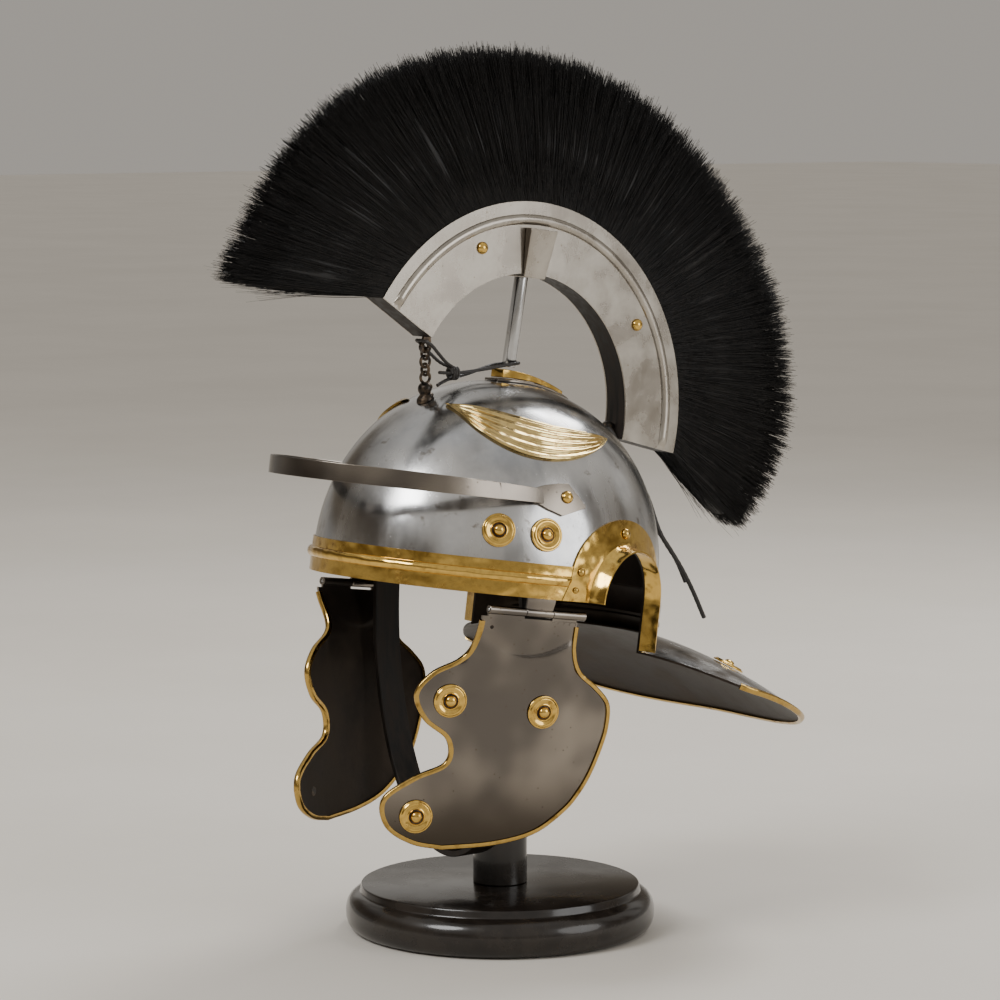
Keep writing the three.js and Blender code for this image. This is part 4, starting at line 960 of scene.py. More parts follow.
LIP_OUT, LIP_SWEEP, LIP_DROOP = 12, math.radians(16), 2
lip = np.array([math.cos(LIP_SWEEP), math.sin(LIP_SWEEP), 0]) * LIP_OUT
rings = []
for i, (inner, outer) in enumerate(stations):
    share = SHEET_BRASS / math.hypot(outer[0] - inner[0], outer[1] - inner[1])
    droop = np.array([0, 0, -LIP_DROOP * math.sin(math.pi * i / (len(stations) - 1))])

    def between(t, out):
        return seat(lerp(inner[0], outer[0], t), lerp(inner[1], outer[1], t), out)

    flat = GAP + SHEET_BRASS
    ring = [between(1, GAP), *(between(t, flat) for t in (1, 0.75, 0.5, 0.2))]
    ring += [between(share * 1.6, flat + 0.2), between(share, flat + 0.9)]
    ring += [between(share, GAP) + lip + droop, between(0, GAP) + lip + droop]
    ring += [between(0, GAP), between(0.5, GAP)]
    rings.append(ring)
pair("ear_flange", bar(rings), brass, "ear_guard")

EAR_RIVETS = table(
    "name back height radius",
    ("ear_rivet_top", 31.6, 32, 3.4),
    ("ear_rivet_front", -6.5, 6.5, 2.6),
    ("ear_rivet_low", -9.5, -5, 2),
)
for spec in EAR_RIVETS:
    foot = seat(spec["back"], spec["height"])
    normal = bowl_normal(foot)
    head = stood_on(rivet(spec["radius"]), foot + normal * (2 * GAP + SHEET_BRASS), normal)
    pair(spec["name"] + "_head", head, bright_brass, spec["name"])

# %% [markdown]
# ## Leaves and bosses on the bowl
# A long embossed leaf lies over each side of the crown. Its ribs run from tip to tip, so the relief is a
# wave across the leaf that fades toward both points.

# %% Leaves
LEAF_START, LEAF_LENGTH, LEAF_LOW, LEAF_DEPTH = -61.5, 95, 74, 28.5
LEAF_RIBS = 4.5
LEAF = table(
    "lowBack low highBack high",
    (0, 0.96, 0, 0.97),
    (0.02, 0.56, 0.1, 0.99),
    (0.1, 0.26, 0.2, 0.94),
    (0.24, 0.06, 0.36, 0.83),
    (0.41, 0.01, 0.52, 0.745),
    (0.59, 0.08, 0.68, 0.7),
    (0.75, 0.22, 0.81, 0.67),
    (0.89, 0.39, 0.91, 0.645),
    (1, 0.57, 1, 0.58),
)


def curve_at(values, u):
    """A smooth curve through values at even stops."""
    grid = np.clip(u, 0, 1) * (len(values) - 1)
    i = np.minimum(grid.astype(int), len(values) - 2)
    t = grid - i
    padded = np.array([2 * values[0] - values[1], *values, 2 * values[-1] - values[-2]], float)
    p0, p1, p2, p3 = (padded[i + k] for k in range(4))
    square, cube = 2 * p0 - 5 * p1 + 4 * p2 - p3, 3 * p1 - p0 - 3 * p2 + p3
    return 0.5 * (2 * p1 + (p2 - p0) * t + square * t**2 + cube * t**3)


def leaf_sheet(u, v, layer):
    low_back, low, high_back, high = (curve_at([r[key] for r in LEAF], u) for key in LEAF[0])
    back = LEAF_START + LEAF_LENGTH * lerp(low_back, high_back, v)
    height = LEAF_LOW + LEAF_DEPTH * lerp(low, high, v)
    inside = smooth(np.minimum(v, 1 - v) / 0.1)
    ribs = 0.5 + 0.5 * np.cos((v - 0.5) * 2 * math.pi * LEAF_RIBS + 0.5 * np.sin(u * 5))
    fade = smooth(np.minimum(u, 1 - u) / 0.2)
    raised = SHEET_BRASS + 0.45 * (1 - inside) + inside * (0.35 + 0.95 * ribs * fade)
    return seat(back, height, GAP if layer else GAP + raised)


pair("leaf_embossed", slab(120, 60, leaf_sheet), leaf_brass, "leaf")

BOWL_BOSS_UP = 27.4
for name, back in (("bowl_boss_front", -61.1), ("bowl_boss_rear", -32)):
    foot = seat(back, BOWL_BOSS_UP)
    bossed(name + "_dish", name + "_groove", name, foot, bowl_normal(foot))

# %% [markdown]
# ## Crest holder, rod and crest plates
# The crest is a wooden arc between two steel plates with a bead along their outer part. It stands on a
# rod with a forked bracket, and the rod is held by a brass channel on a plate on the crown.

# %% Crest foot, holder and stay
CREST = {"back": 6.5, "up": 101.9, "inner": 88, "outer": 134, "width": 20, "plate": 1.2}
CREST_FROM, CREST_TO = math.radians(-7), math.radians(153.3)
FOOT = {"from": -14, "to": 48, "width": 24}
HOLDER = {"from": -9, "to": 42, "width": 12, "front": 5.6, "rear": 2.4, "groove": 1.1}
ROD = {"radius": 4.5, "lean": 2.4, "over_crown": 6.4}
FORK = {"front": -9, "rear": 13, "out": 6, "top": 218.5, "foot_share": 0.78}


def foot_plate(u, v, layer):
    back = lerp(FOOT["from"], FOOT["to"], u)
    rounded = np.sqrt(np.maximum(1 - ((back - 17) / 32) ** 6, 0.05))
    return crown((v - 0.5) * FOOT["width"] * rounded, back, GAP if layer else GAP + STEEL)


def holder_wedge(u, v, layer):
    back = lerp(HOLDER["from"], HOLDER["to"], u)
    at = crown(0 * back, back, 2 * GAP + STEEL)
    at[..., 0] = (v - 0.5) * HOLDER["width"]
    if not layer:
        across = np.clip(1 - (np.abs(v - 0.5) / 0.28) ** 4, 0, 1)
        groove = HOLDER["groove"] * across * smooth((u - 0.28) / 0.05)
        at[..., 2] += lerp(HOLDER["front"], HOLDER["rear"], u) - groove
    return at


foot_sheet = row(slab(40, 10, foot_plate))
piece("crest_foot_plate", foot_sheet, satin_steel, ["crest_foot"], bevel=0.3)
holder = row(slab(30, 16, holder_wedge))
piece("crest_channel", holder, brass, ["crest_holder"], bevel=0.4)

under = CREST["up"] + CREST["inner"]
yoke = under - 4 * GAP - STEEL
face = CREST["width"] / 2 + GAP
foot_z = float(crown(0.0, 0.0, 2 * GAP + STEEL)[2]) + ROD["over_crown"] + 2 * GAP
rod_top = yoke + STEEL / 2
rod_rows = [(0, foot_z), (ROD["radius"] - 0.3, foot_z), (ROD["radius"], foot_z + 0.5)]
rod_rows += [(ROD["radius"], rod_top), (0, rod_top)]
rod_points, rod_faces = turned(rod_rows, 48)
rod_points[:, 1] += (rod_points[:, 2] - foot_z) / (rod_top - foot_z) * ROD["lean"]


def fork_side(u, v, layer):
    back = ROD["lean"] + lerp(FORK["front"], FORK["rear"], u) * lerp(FORK["foot_share"], 1, v)
    out = 0 * u if layer else lerp(STEEL, FORK["out"], v)
    return np.stack([face + out, back, lerp(yoke, FORK["top"], v)], -1)


def fork_floor(u, v, layer):
    across = lerp(-1, 1, u) * (face + STEEL / 2)
    along = ROD["lean"] + lerp(FORK["front"], FORK["rear"], v) * (FORK["foot_share"] - 0.02)
    return np.stack([across, along, yoke + (0 if layer else STEEL) + 0 * u], -1)


fork = slab(6, 6, fork_side)
fork_form = together(fork, mirrored(fork), slab(4, 4, fork_floor))
piece("crest_fork", row(fork_form), crest_steel, ["crest_stay"], bevel=0.35)
piece("crest_rod", row((rod_points, rod_faces)), polished_steel, [])


# %% Crest block and plates
def crest_point(turn, radius, side):
    """Points of the crest's arc; turn, radius and side may be numbers or arrays."""
    back, up = CREST["back"] + radius * np.cos(turn), CREST["up"] + radius * np.sin(turn)
    return np.stack([side + 0 * turn, back, up], -1)


CREST_BEAD = {"radius": 122.5, "half": 3.3, "out": 2.4}
CREST_RIVET_RADIUS = 110

inside_face = CREST["width"] / 2 - CREST["plate"]
block_side = inside_face - GAP
rings = []
for turn in np.linspace(CREST_FROM, CREST_TO, 110):
    corners = [(CREST["inner"], -1), (CREST["outer"], -1), (CREST["outer"], 1), (CREST["inner"], 1)]
    rings.append([crest_point(turn, radius, s * block_side) for radius, s in corners])
piece("crest_wood", row(bar(rings)), dark_wood, ["crest_block"], bevel=0.4)

beads = [
    (CREST_BEAD["radius"] + CREST_BEAD["half"] * math.sin(t), CREST_BEAD["out"] * math.cos(t))
    for t in half_turn
]
rings = []
for turn in np.linspace(CREST_FROM, CREST_TO, 150):
    from_end = min(turn - CREST_FROM, CREST_TO - turn)
    full = float(smooth((from_end - 0.02) / 0.025))
    section = [(CREST["inner"], 0), (CREST["inner"], CREST["plate"])]
    section += [(radius, CREST["plate"] + rise * full) for radius, rise in beads]
    section += [(CREST["outer"], CREST["plate"]), (CREST["outer"], 0)]
    rings.append([crest_point(turn, radius, inside_face + out) for radius, out in section])
pair("crest_side", bar(rings), crest_steel, "crest_plate")

for name, turn in (("crest_rivet_front", 115), ("crest_rivet_rear", 36)):
    foot = crest_point(math.radians(turn), CREST_RIVET_RADIUS, CREST["width"] / 2 + GAP)
    pair(name + "_head", stood_on(rivet(RIVET_RADIUS), foot, (1, 0, 0)), brass, name)

# %% [markdown]
# ## The plume
# Stiff black bristle stands in a fan along the crest. A dark core of locks fills it, and many thousands
# of tapered hairs cover the core and make its ragged edge. Each hair is a three-sided prism, made with
# arrays, because hundreds of thousands of faces are too slow to make one at a time.

# %% Core of the plume
REACH = [1, 1.1, 1.105, 1.075, 1.05, 1.045, 1.05, 1.064, 1.09, 1.125, 1.128, 1.124]
FAN = 219
REAR_FLARE, FRONT_FLARE = 0.17, 0.22
CORE_SHORT, CORE_NOTCH = 20, 5  # how far the core's locks and their notches end inside the fan
CORE_ROOT, CORE_TIP = 8.2, 9.6  # half widths of the core
CORE_RING = [(0, -1), (0.5, -1.05), (0.9, -0.85), (1, -0.4), (1, 0.4), (0.9, 0.85), (0.5, 1.05), (0, 1)]


def fan_line(share):
    """Root angle, tip angle and tip radius at a share of the crest from its rear end."""
    root = lerp(CREST_FROM, CREST_TO, share)
    tip = lerp(CREST_FROM - REAR_FLARE, CREST_TO + FRONT_FLARE, share)
    return root, tip, FAN * curve_at(REACH, share)


rings = []
for i, share in enumerate(np.linspace(0.004, 0.996, 301)):
    root, tip, far = (float(x) for x in fan_line(np.array(share)))
    notch = 0.5 + 0.5 * math.cos(i * 2 * math.pi / 4)
    far = far - CORE_SHORT - CORE_NOTCH * notch
    inner, outer = crest_point(root, CREST["outer"] + GAP, 0), crest_point(tip, far, 0)
    ring = []
    for along, side in CORE_RING:
        at = lerp(inner, outer, along)
        at[0] = side * lerp(CORE_ROOT, CORE_TIP, along) * (1 - 0.07 * notch)
        ring.append(at)
    rings.append(ring)
piece("plume_core", row(bar(rings)), hair, ["plume"], sharp=80)

# %% Hairs of the plume
HAIR_ROOT, HAIR_TIP, LOCK_TIP = 9.4, 11.4, 11  # half widths that the hairs and locks spread over
HAIR_BEND = 1.3
dice = np.random.default_rng(31)


def hairs(count, steps, lock_size, overshoot, stray, radius, shares=(0.0, 1.0), skin=0.55):
    """Points and faces of tapered hairs, as arrays. Their tips gather into small locks."""
    share = np.sort(dice.uniform(shares[0], shares[1], count))
    side = dice.uniform(-1, 1, count)
    edge = dice.random(count) < skin
    side[edge] = np.sign(side[edge]) * dice.uniform(0.82, 1.0, edge.sum())
    locks = max(int(count / lock_size), 1)
    chosen = np.clip((share - shares[0]) / (shares[1] - shares[0]) * locks, 0, locks - 1).astype(int)
    lock_share = (np.arange(locks) + dice.uniform(0.1, 0.9, locks)) / locks
    lock_share = shares[0] + lock_share * (shares[1] - shares[0])
    lock_turn, lock_reach = dice.normal(0, stray, locks), dice.uniform(-1, 1, locks) ** 3 * 4
    lock_side = dice.uniform(-1, 1, locks)
    root, tip, far = fan_line(share)
    gather = dice.uniform(0.45, 0.95, count)
    tip = lerp(tip, fan_line(lock_share[chosen])[1] + lock_turn[chosen], gather)
    tip = tip + dice.normal(0, stray * 0.4, count)
    far = far + dice.uniform(overshoot[0], overshoot[1], count) + lock_reach[chosen]
    near = CREST["outer"] + GAP
    start = crest_point(root, near, side * HAIR_ROOT)
    wide = lerp(side * HAIR_TIP, lock_side[chosen] * LOCK_TIP, gather * 0.45)
    end = crest_point(tip, far, wide + dice.normal(0, 0.5, count))
    t = np.linspace(0, 1, steps + 1)[None, :, None]
    bend = dice.normal(0, HAIR_BEND, (count, 1, 3)) * [0.35, 1, 1]
    straight = start[:, None] * (1 - t) + end[:, None] * t
    centre = straight + bend * np.sin(t * math.pi)
    ahead = end - start
    ahead /= np.linalg.norm(ahead, axis=1, keepdims=True)
    across = np.cross(ahead, [1.0, 0, 0])
    across /= np.linalg.norm(across, axis=1, keepdims=True)
    up = np.cross(ahead, across)
    thick = radius * (1 - 0.6 * t[..., 0] ** 3)
    turn = np.arange(3) * 2 * math.pi / 3
    spokes = np.cos(turn)[None, :, None] * across[:, None] + np.sin(turn)[None, :, None] * up[:, None]
    points = centre[:, :, None] + spokes[:, None] * thick[..., None, None]
    faces = []
    for j in range(steps):
        for k in range(3):
            n = (k + 1) % 3
            faces.append([j * 3 + k, j * 3 + n, (j + 1) * 3 + n, (j + 1) * 3 + k])
    quads = np.array(faces)[None] + (np.arange(count) * (steps + 1) * 3)[:, None, None]
    return points.reshape(-1, 3), quads.reshape(-1, 4)


def hair_piece(name, points, quads):
    """A mesh of hairs, filled straight from arrays."""
    placed = row((points, quads))[0] * MM
    mesh = bpy.data.meshes.new(name)
    mesh.vertices.add(len(placed))
    mesh.vertices.foreach_set("co", placed.astype(np.float32).ravel())
    mesh.loops.add(quads.size)
    mesh.loops.foreach_set("vertex_index", quads.astype(np.int32).ravel())
    mesh.polygons.add(len(quads))
    mesh.polygons.foreach_set("loop_start", np.arange(0, quads.size, 4, dtype=np.int32))
    mesh.update(calc_edges=True)
    mesh.shade_smooth()
    mesh.materials.append(hair)
    obj = linked(name, mesh)
    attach(obj, "helmet")
    print(name, len(quads) * 2, "triangles")
    return obj


HAIR_SETS = table(
    "name count lock overshoot stray skin",
    ("plume_hair_skin", 9500, 24, (-12, -5), 0.008, 0.95),
    ("plume_hair_body", 9500, 18, (-11, -3), 0.010, 0.4),
    ("plume_hair_tips", 9500, 12, (-9, -0.5), 0.013, 0.3),
)
HAIR_RADIUS, STRAY_RADIUS = 0.26, 0.16
for spec in HAIR_SETS:
    sizes = (spec["count"], 3, spec["lock"], spec["overshoot"], spec["stray"], HAIR_RADIUS)
    hair_piece(spec["name"], *hairs(*sizes, skin=spec["skin"]))
ends = []
for shares in ((0.0, 0.02), (0.98, 1.0)):
    ends.append(hairs(200, 5, 3, (-40, 2), 0.02, STRAY_RADIUS, shares, 0.3))
points = np.concatenate([ends[0][0], ends[1][0]])
quads = np.concatenate([ends[0][1], ends[1][1] + len(ends[0][0])])
hair_piece("plume_hair_strays", points, quads)

# %% [markdown]
# ## Chain, eyes and hook
# Three iron links hang from an eye on the crest and hold a hook on the bowl. They are rings of round
# wire, each turned a quarter from the last, where the solids' rings are.

# %% Chain, eyes and hook
LINK_RADIUS, WIRE, EYE_RADIUS, EYE_HOLE = 3.6, 0.95, 4.4, 2.1
wire_turn = np.arange(14) / 14 * 2 * math.pi
wire_circle = [(LINK_RADIUS + WIRE * math.cos(t), WIRE * math.sin(t)) for t in wire_turn]
FRONT_EYE, REAR_EYE = (-69, 135.6), (88.4, 97.6)
eye_row = row((np.array([[0, *FRONT_EYE]]), []))[0][0]
pitch = 2 * (LINK_RADIUS - WIRE) - GAP
first = eye_row[2] - (EYE_HOLE - WIRE - GAP) - LINK_RADIUS


def ring_at(index, height):
    across = (0, 1, 0) if index % 2 == 0 else (1, 0, 0)
    return stood_on(turned(wire_circle, 40, True), (0, eye_row[1], height), across)


LINKS = 3
for i in range(LINKS):
    node = f"chain_link_{i + 1}"
    piece(f"chain_ring_{i + 1}", ring_at(i, first - i * pitch), iron, [node], sharp=60)

hook_height = first - LINKS * pitch
stud_top = hook_height - LINK_RADIUS + WIRE / 2


def crown_over(x, y, out):
    """The height of the tilted bowl's surface over a place on the table."""
    height = LIFT + HEIGHT
    for _ in range(20):
        back = math.cos(TILT) * (y + SETBACK) - math.sin(TILT) * (height - LIFT)
        surface = float(crown(np.array(x), np.array(back), out)[2])
        height = LIFT + (surface - math.sin(TILT) * (y + SETBACK)) / math.cos(TILT)
    return height


KNOB = [(0, 0), (1, 0), (1, 0.14), (0.9, 0.22), (0.62, 0.34), (0.7, 0.45), (0.83, 0.55), (0.86, 0.68)]
KNOB += [(0.8, 0.82), (0.6, 0.94), (0.3, 1), (0, 1)]
STUD_RADIUS = 5.5
knob_points, knob_faces = turned([(r * STUD_RADIUS, h) for r, h in KNOB], 40)
for point in knob_points:
    point[1] += eye_row[1]
    point[2] = lerp(crown_over(point[0], point[1], GAP), stud_top, point[2])
hook = together((knob_points, knob_faces), ring_at(LINKS, hook_height))
piece("hook_and_ring", hook, iron, ["bowl_hook"], sharp=60)


def eye_lug(back, up, low_turn, high_turn):
    """A flat eye with a web to the crest's inner arc."""
    low, high = (crest_point(t, CREST["inner"] - 2 * GAP, 0) for t in (low_turn, high_turn))
    middle = (low + high) / 2
    web = math.atan2(middle[2] - up, middle[1] - back)
    steps = np.linspace(web - math.pi / 2, web - math.pi * 1.5, 24)
    outline = [(high[1], high[2]), (low[1], low[2])]
    outline += [(back + EYE_RADIUS * math.cos(t), up + EYE_RADIUS * math.sin(t)) for t in steps]
    return bar([[(x, y, z) for y, z in outline] for x in (-1, 1)])


def eye_hole(back, up):
    circle = np.arange(28) / 28 * 2 * math.pi
    ring = [(back + EYE_HOLE * math.cos(t), up + EYE_HOLE * math.sin(t)) for t in circle]
    return bar([[(x, y, z) for y, z in ring] for x in (-4, 4)])


EYES = table(
    "name node at low high",
    ("eye_front", "crest_front_eye", FRONT_EYE, CREST_TO - 0.09, CREST_TO - 0.007),
    ("eye_rear", "crest_rear_eye", REAR_EYE, CREST_FROM + 0.035, CREST_FROM + 0.105),
)
for eye in EYES:
    lug_form = eye_lug(*eye["at"], eye["low"], eye["high"])
    obj = piece(eye["name"], row(lug_form), iron, [eye["node"]])
    cut(obj, row(eye_hole(*eye["at"])))

# %% [markdown]
# ## Cheek guards
# Each cheek guard hangs from a hinge inside the brow. It is drawn in the hinge's frame: x points out of
# the cheek, y runs back along the pin and z goes up. A crease is hammered in below the hinge.

# %% Shape of a cheek guard
CHEEK = table(
    "front frontDown rear rearDown",
    (-0.28, 0.026, 0.217, 0.026),
    (-0.268, 0.159, 0.226, 0.145),
    (-0.308, 0.221, 0.272, 0.228),
    (-0.413, 0.284, 0.37, 0.287),
    (-0.471, 0.376, 0.449, 0.353),
    (-0.413, 0.476, 0.464, 0.449),
    (-0.301, 0.548, 0.449, 0.542),
    (-0.29, 0.647, 0.417, 0.647),
    (-0.42, 0.72, 0.373, 0.733),
    (-0.536, 0.819, 0.308, 0.812),
    (-0.504, 0.928, 0.174, 0.908),
    (-0.384, 0.987, -0.014, 0.966),
    (-0.248, 1, -0.248, 1),
)
CHEEK_WIDTH, CHEEK_DROP = 138, 151.4
CHEEK_REAR, CHEEK_FRONT = 0.217 * CHEEK_WIDTH, -0.536 * CHEEK_WIDTH  # behind the hinge, and at the jaw
TAB_FRONT, TAB_REAR = -0.275 * CHEEK_WIDTH, 0.21 * CHEEK_WIDTH
HINGE = {"side": 91.75, "front": 30.85, "drop": 21.3, "toe": math.radians(8.66), "length": 69.7}
KNUCKLE, PIN = 2.7, 1.1
KNUCKLE_ENDS = (0, 0.38, 0.66, 1)  # shares of the hinge's length
CURL, CHEEK_LEAN = 22, 0.11  # how far the front edge turns in, and the sheet's slope


def cheek_edge(key, u):
    rows = [r[key] for r in CHEEK]
    down = [r[key + "Down"] for r in CHEEK]
    return curve_at(rows, u) * CHEEK_WIDTH, -curve_at(down, u) * CHEEK_DROP


def cheek_x(along, height):
    start = smooth((-height - 4) / 30)
    curl = CURL * (np.maximum(CHEEK_REAR - along, 0) / (CHEEK_REAR - CHEEK_FRONT)) ** 1.6 * start
    return -curl + CHEEK_LEAN * height


def cheek_normal(along, height):
    dy = (cheek_x(along + 1, height) - cheek_x(along - 1, height)) / 2
    dz = (cheek_x(along, height + 1) - cheek_x(along, height - 1)) / 2
    normal = np.stack([1 + 0 * along, -dy, -dz], -1)
    return normal / np.linalg.norm(normal, axis=-1, keepdims=True)


def cheek_point(along, height, out=0.0):
    return np.stack([cheek_x(along, height) + out, along, height], -1)


def crease(along, height):
    """How far the hammered line below the hinge stands out."""
    arc = -29 + 11 * ((along + 4) / 31) ** 2
    inside = smooth((0.29 * CHEEK_WIDTH - np.abs(along + 4)) / 6)
    line = np.exp(-(((height - arc) / 1.8) ** 2)) * 0.9
    step = smooth((arc - height) / 3) * smooth((height + 52) / 18) * 1.1
    return (line + step) * inside


def cheek_sheet(u, v, layer):
    front_y, front_z = cheek_edge("front", u)
    rear_y, rear_z = cheek_edge("rear", u)
    along, height = lerp(front_y, rear_y, v), lerp(front_z, rear_z, v)
    pushed = crease(along, height) * smooth(np.minimum(v, 1 - v) / 0.06)
    return cheek_point(along, height, (-STEEL / 2 if layer else STEEL / 2) + pushed)


def laid_down(form):
    """A form turned about Z, laid along the hinge."""
    points, faces = form
    return points[:, [0, 2, 1]] * [1, 1, -1], faces


def knuckle(start, end):
    low = (start - 0.5) * HINGE["length"] + GAP / 2
    high = (end - 0.5) * HINGE["length"] - GAP / 2
    bore = PIN + GAP
    profile = [(bore, low), (KNUCKLE - 0.25, low), (KNUCKLE, low + 0.25), (KNUCKLE, high - 0.25)]
    profile += [(KNUCKLE - 0.25, high), (bore, high)]
    return laid_down(turned(profile, 36, True))


def tab(start, end):
    low = max((start - 0.5) * HINGE["length"] + GAP, TAB_FRONT)
    high = min((end - 0.5) * HINGE["length"] - GAP, TAB_REAR)

    def sheet(u, v, layer):
        return cheek_point(lerp(low, high, u), lerp(-6, -2.2, v), STEEL * (0.5 - layer))

    return slab(4, 2, sheet)


# %% Building both cheek guards
def hung(form, side):
    """A form of the hinge's frame placed on the helmet's left or right."""
    points, faces = form
    c, s = math.cos(HINGE["toe"]), math.sin(HINGE["toe"])
    x, y, z = points.T
    at = (c * x + s * y + HINGE["side"], -s * x + c * y - HINGE["front"], z - HINGE["drop"])
    placed = (np.stack(at, -1), faces)
    return row(placed if side == "left" else mirrored(placed))


outer_knuckles = (KNUCKLE_ENDS[:2], KNUCKLE_ENDS[2:])
knuckles, tabs = ([make(*ends) for ends in outer_knuckles] for make in (knuckle, tab))
plate = together(slab(110, 44, cheek_sheet), *knuckles, *tabs)
edge_u = np.linspace(0.012, 1, 90)
front = np.stack(cheek_edge("front", edge_u), -1)
rear = np.stack(cheek_edge("rear", edge_u), -1)[::-1][1:]
rim = np.concatenate([front, rear])
rim_points = cheek_point(rim[:, 0], rim[:, 1])
cheek_rim = edging(rim_points, cheek_normal(rim[:, 0], rim[:, 1]))
pin_end = HINGE["length"] / 2
pin_profile = [(0, -pin_end), (PIN - 0.2, -pin_end), (PIN, 0.2 - pin_end)]
pin_profile += [(PIN, pin_end - 0.2), (PIN - 0.2, pin_end), (0, pin_end)]
pin_form = laid_down(turned(pin_profile, 24))
LEAF_HEIGHT = 30


def hinge_leaf(u, v, layer):
    share = np.interp(v, [0, 1 / 3, 2 / 3, 1], [0.07, 0.26, 0.5, 1])
    start, end = ((k - 0.5) * HINGE["length"] for k in KNUCKLE_ENDS[1:3])
    along = lerp(start + GAP / 2, end - GAP / 2, u)
    height = share * LEAF_HEIGHT
    c, s = math.cos(HINGE["toe"]), math.sin(HINGE["toe"])
    back = c * along - HINGE["front"]
    wall = seat(back, height - HINGE["drop"], -STEEL - 3 * GAP)
    wall_x = c * (wall[..., 0] - HINGE["side"]) - s * (wall[..., 1] + HINGE["front"])
    shift = (wall_x - STEEL / 2) * smooth((share - 0.07) / 0.19)
    return np.stack([shift + STEEL * (0.5 - layer), along, height], -1)


leaf_form = together(knuckle(*KNUCKLE_ENDS[1:3]), slab(8, 18, hinge_leaf))


def hole(along, height, radius, side_out):
    """A dark plug that stands for a hole, with painted shade for what is seen through it, on the sheet's
    outer (1) or inner (-1) side.
    """
    at = cheek_point(np.array(along), np.array(height))
    normal = cheek_normal(np.array(along), np.array(height)) * side_out
    disc = turned([(0, 0), (radius, 0), (radius, 0.1), (radius * 0.8, 0.14), (0, 0.02)], 24)
    return stood_on(disc, at + normal * STEEL / 2, normal)


CHEEK_HOLES = table("along height radius side_out", (-30, -10.5, 1.2, 1), (-53, -133, 3, -1))
CHEEK_BOSSES = table(
    "name along down",
    ("cheek_boss_front", -0.318, 0.39),
    ("cheek_boss_rear", 0.118, 0.405),
    ("cheek_boss_low", -0.385, 0.877),
)
for side in ("left", "right"):
    body = side + "_cheek"
    nodes = [f"cheek_plate_{side}"]
    cheek = piece(f"cheek_sheet_{side}", hung(plate, side), satin_steel, nodes, body)
    # The cheek's inner side gets painted shade.
    paint_shade_inside(cheek, painted_shade_steel, lambda at, normal: normal.x * at.x < 0 and abs(normal.x) > 0.4)
    nodes = [f"cheek_edging_{side}"]
    piece(f"cheek_rim_{side}", hung(cheek_rim, side), bright_brass, nodes, body, sharp=50)
    nodes = [f"hinge_leaf_{side}"]
    piece(f"hinge_strap_{side}", hung(leaf_form, side), satin_steel, nodes)
    piece(f"hinge_rod_{side}", hung(pin_form, side), polished_steel, [f"hinge_pin_{side}"])
    holes = together(*(hole(**spec) for spec in CHEEK_HOLES))
    piece(f"cheek_holes_{side}", hung(holes, side), iron, [], body)
    for spec in CHEEK_BOSSES:
        along, height = np.array(spec["along"] * CHEEK_WIDTH), np.array(-spec["down"] * CHEEK_DROP)
        normal = cheek_normal(along, height)
        foot = cheek_point(along, height) + normal * (STEEL / 2 + GAP)
        form, groove = stood_on(boss(), foot, normal), stood_on(boss_groove(), foot, normal)
        name = f"{spec['name']}_{side}"
        piece(f"{spec['name']}_dish_{side}", hung(form, side), brass, [name], body)
        piece(f"{spec['name']}_groove_{side}", hung(groove, side), iron, [], body)

# %% [markdown]
# ## The stand
# A turned black base carries a short post, and an oval loop of thin bent wood stands in front of the
# post and holds the bowl up from inside.

# %% Stand
BASE_PROFILE = [
    (0, 0), (92, 0), (93, 0.6), (95.6, 1.4), (97.5, 3), (99, 5.6), (99.9, 9), (100, 12), (99.9, 15),
    (99, 18.4), (97.5, 21), (95.4, 23), (92.9, 24.4), (91.2, 25), (90.6, 26), (90.4, 28.6), (89.8, 29.6),
    (88.8, 30), (0, 30),
]
piece("base_turned", turned(BASE_PROFILE, 160), lacquer, ["stand_base"], sharp=30)

LOOP_FRONT, LOOP_REAR = -44.0, -25.0
LOOP_FOOT, LOOP_HALF, LOOP_WALL = 52, 78, 4
BRACKET_DEPTH, BRACKET_HALF = 8, 10
POST_RADIUS, POST_FOOT = 17.5, 30.3
ceiling = min(crown_over(0, y, -STEEL) for y in (LOOP_FRONT, LOOP_REAR)) - 3 * GAP
half = (ceiling - LOOP_FOOT) / 2
LOOP_SECTION = [(0, LOOP_FRONT), (0, LOOP_REAR), (LOOP_WALL, LOOP_REAR), (LOOP_WALL, LOOP_FRONT)]
rings = []
for t in np.arange(200) / 200 * 2 * math.pi:
    ring = []
    for inward, y in LOOP_SECTION:
        lift = LOOP_FOOT + half - (half - inward) * math.cos(t)
        ring.append(((LOOP_HALF - inward) * math.sin(t), y, lift))
    rings.append(ring)
piece("loop_bent", bar(rings, True), dark_wood, ["stand_loop"], bevel=0.6)

bracket_lift = half * (1 - math.sqrt(1 - (BRACKET_HALF / (LOOP_HALF - LOOP_WALL)) ** 2))
post_top = LOOP_FOOT + LOOP_WALL + bracket_lift + GAP + BRACKET_DEPTH
post_profile = [(0, POST_FOOT), (POST_RADIUS, POST_FOOT), (POST_RADIUS, post_top - 0.5)]
post = turned([*post_profile, (POST_RADIUS - 0.5, post_top), (0, post_top)], 96)


def bracket(u, v, layer):
    height = post_top - (0 if layer else BRACKET_DEPTH) + 0 * u
    return np.stack([lerp(-BRACKET_HALF, BRACKET_HALF, u), lerp(LOOP_FRONT, 0, v), height], -1)


post = together(post, slab(4, 4, bracket))
piece("post_and_bracket", post, lacquer, ["stand_post"], bevel=0.4)

# %% [markdown]
# ## Studio
# A pale floor, a soft surround and three large soft lights. Polished metal shows what is round it, so
# the surround has a dark belt above the horizon, broken by tall pale screens that streak the bowl.

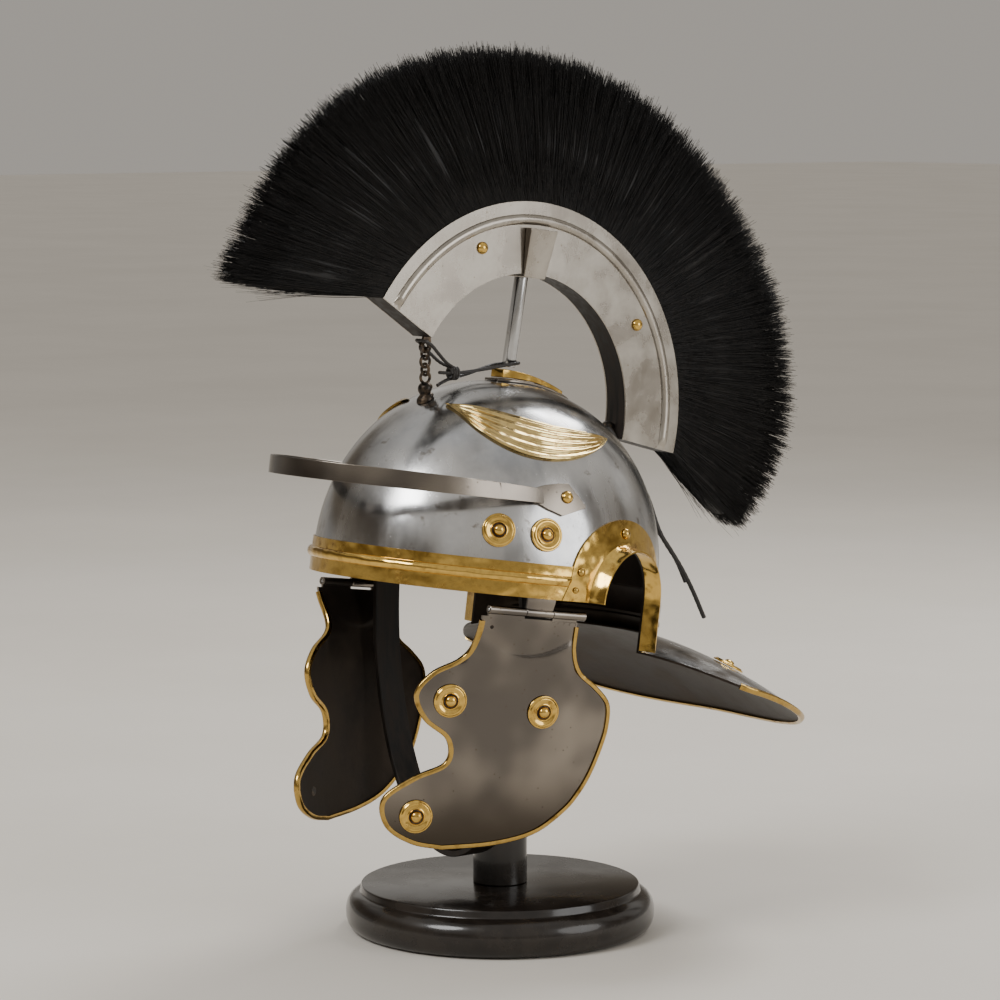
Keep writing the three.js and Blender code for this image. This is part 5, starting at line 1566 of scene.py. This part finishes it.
# %% Floor, surround and lights
FLOOR_HALF = 20  # metres
LIGHTS_AIM = Vector((0, 0, 0.28))
floor = bpy.data.meshes.new("floor")
corners = [(-1, -1), (1, -1), (1, 1), (-1, 1)]
floor.from_pydata([(x * FLOOR_HALF, y * FLOOR_HALF, 0) for x, y in corners], [], [(0, 1, 2, 3)])
floor_obj = linked("floor", floor)
paper = Finish("pale_floor")
soft = paper.mask(patches, Scale=2, Low=0.3, High=0.7)
floor.materials.append(
    paper.feed(Base_Color=paper.colour(soft, (0.62, 0.58, 0.52), (0.66, 0.62, 0.56)), Roughness=0.75)
)

world = bpy.data.worlds.new("surround")
bpy.context.scene.world = world
world.use_nodes = True
sky = world.node_tree
coordinates = add_node(sky, "TexCoord", {}).outputs["Generated"]
upward = add_node(sky, "SeparateXYZ", {0: coordinates}).outputs["Z"]
ramp = add_node(sky, "ValToRGB", {"Fac": upward})
HORIZON, BELT_TOP, BELT = (0.475, 0.445, 0.405), (0.13, 0.105, 0.08), (0.20, 0.165, 0.125)
STOPS = [
    (0.0, HORIZON), (0.06, HORIZON), (0.16, BELT), (0.38, BELT_TOP), (0.62, (0.55, 0.53, 0.50)),
    (1.0, (0.95, 0.94, 0.92)),
]
while len(ramp.color_ramp.elements) < len(STOPS):
    ramp.color_ramp.elements.new(0.5)
for element, (at, tone) in zip(ramp.color_ramp.elements, STOPS):
    element.position = at
    element.color = (*tone, 1)
widths = {"Vector": coordinates, "Across": 1.6, "Along": 0.5, "Low": 0.47, "High": 0.56}
screens = add_node(sky, "Group", widths, node_tree=streaks).outputs["Mask"]
above = add_node(sky, "MapRange", {"Value": upward, "From Min": 0.08, "From Max": 0.2})
lit = add_node(sky, "Math", {0: screens, 1: above.outputs["Result"]}, operation="MULTIPLY")
tones = {"Factor": lit.outputs["Value"], 6: ramp.outputs["Color"], 7: (0.80, 0.76, 0.70, 1)}
screened = add_node(sky, "Mix", tones, data_type="RGBA")
sky.links.new(screened.outputs[2], sky.nodes["Background"].inputs["Color"])
sky.nodes["Background"].inputs["Strength"].default_value = 0.8

LIGHTS = table(
    "name right up near size watts",
    ("key", -1.5, 1.9, 1.3, 1.1, 42),
    ("fill", 1.9, 0.8, 1.0, 1.4, 16),
    ("rim", 0.9, 1.9, -1.4, 1.0, 34),
)
LEVEL_BACK = Vector((VIEW_BACK.x, VIEW_BACK.y, 0)).normalized()
for spec in LIGHTS:
    data = bpy.data.lights.new(spec["name"], "AREA")
    data.shape = "DISK"
    data.size = spec["size"]
    data.energy = spec["watts"]
    lamp = linked(spec["name"], data)
    lamp.location = VIEW_RIGHT * spec["right"] + LEVEL_BACK * spec["near"] + Vector((0, 0, spec["up"]))
    aim = LIGHTS_AIM - lamp.location
    lamp.rotation_euler = aim.to_track_quat("-Z", "Y").to_euler()
print("lights:", [spec["name"] for spec in LIGHTS])
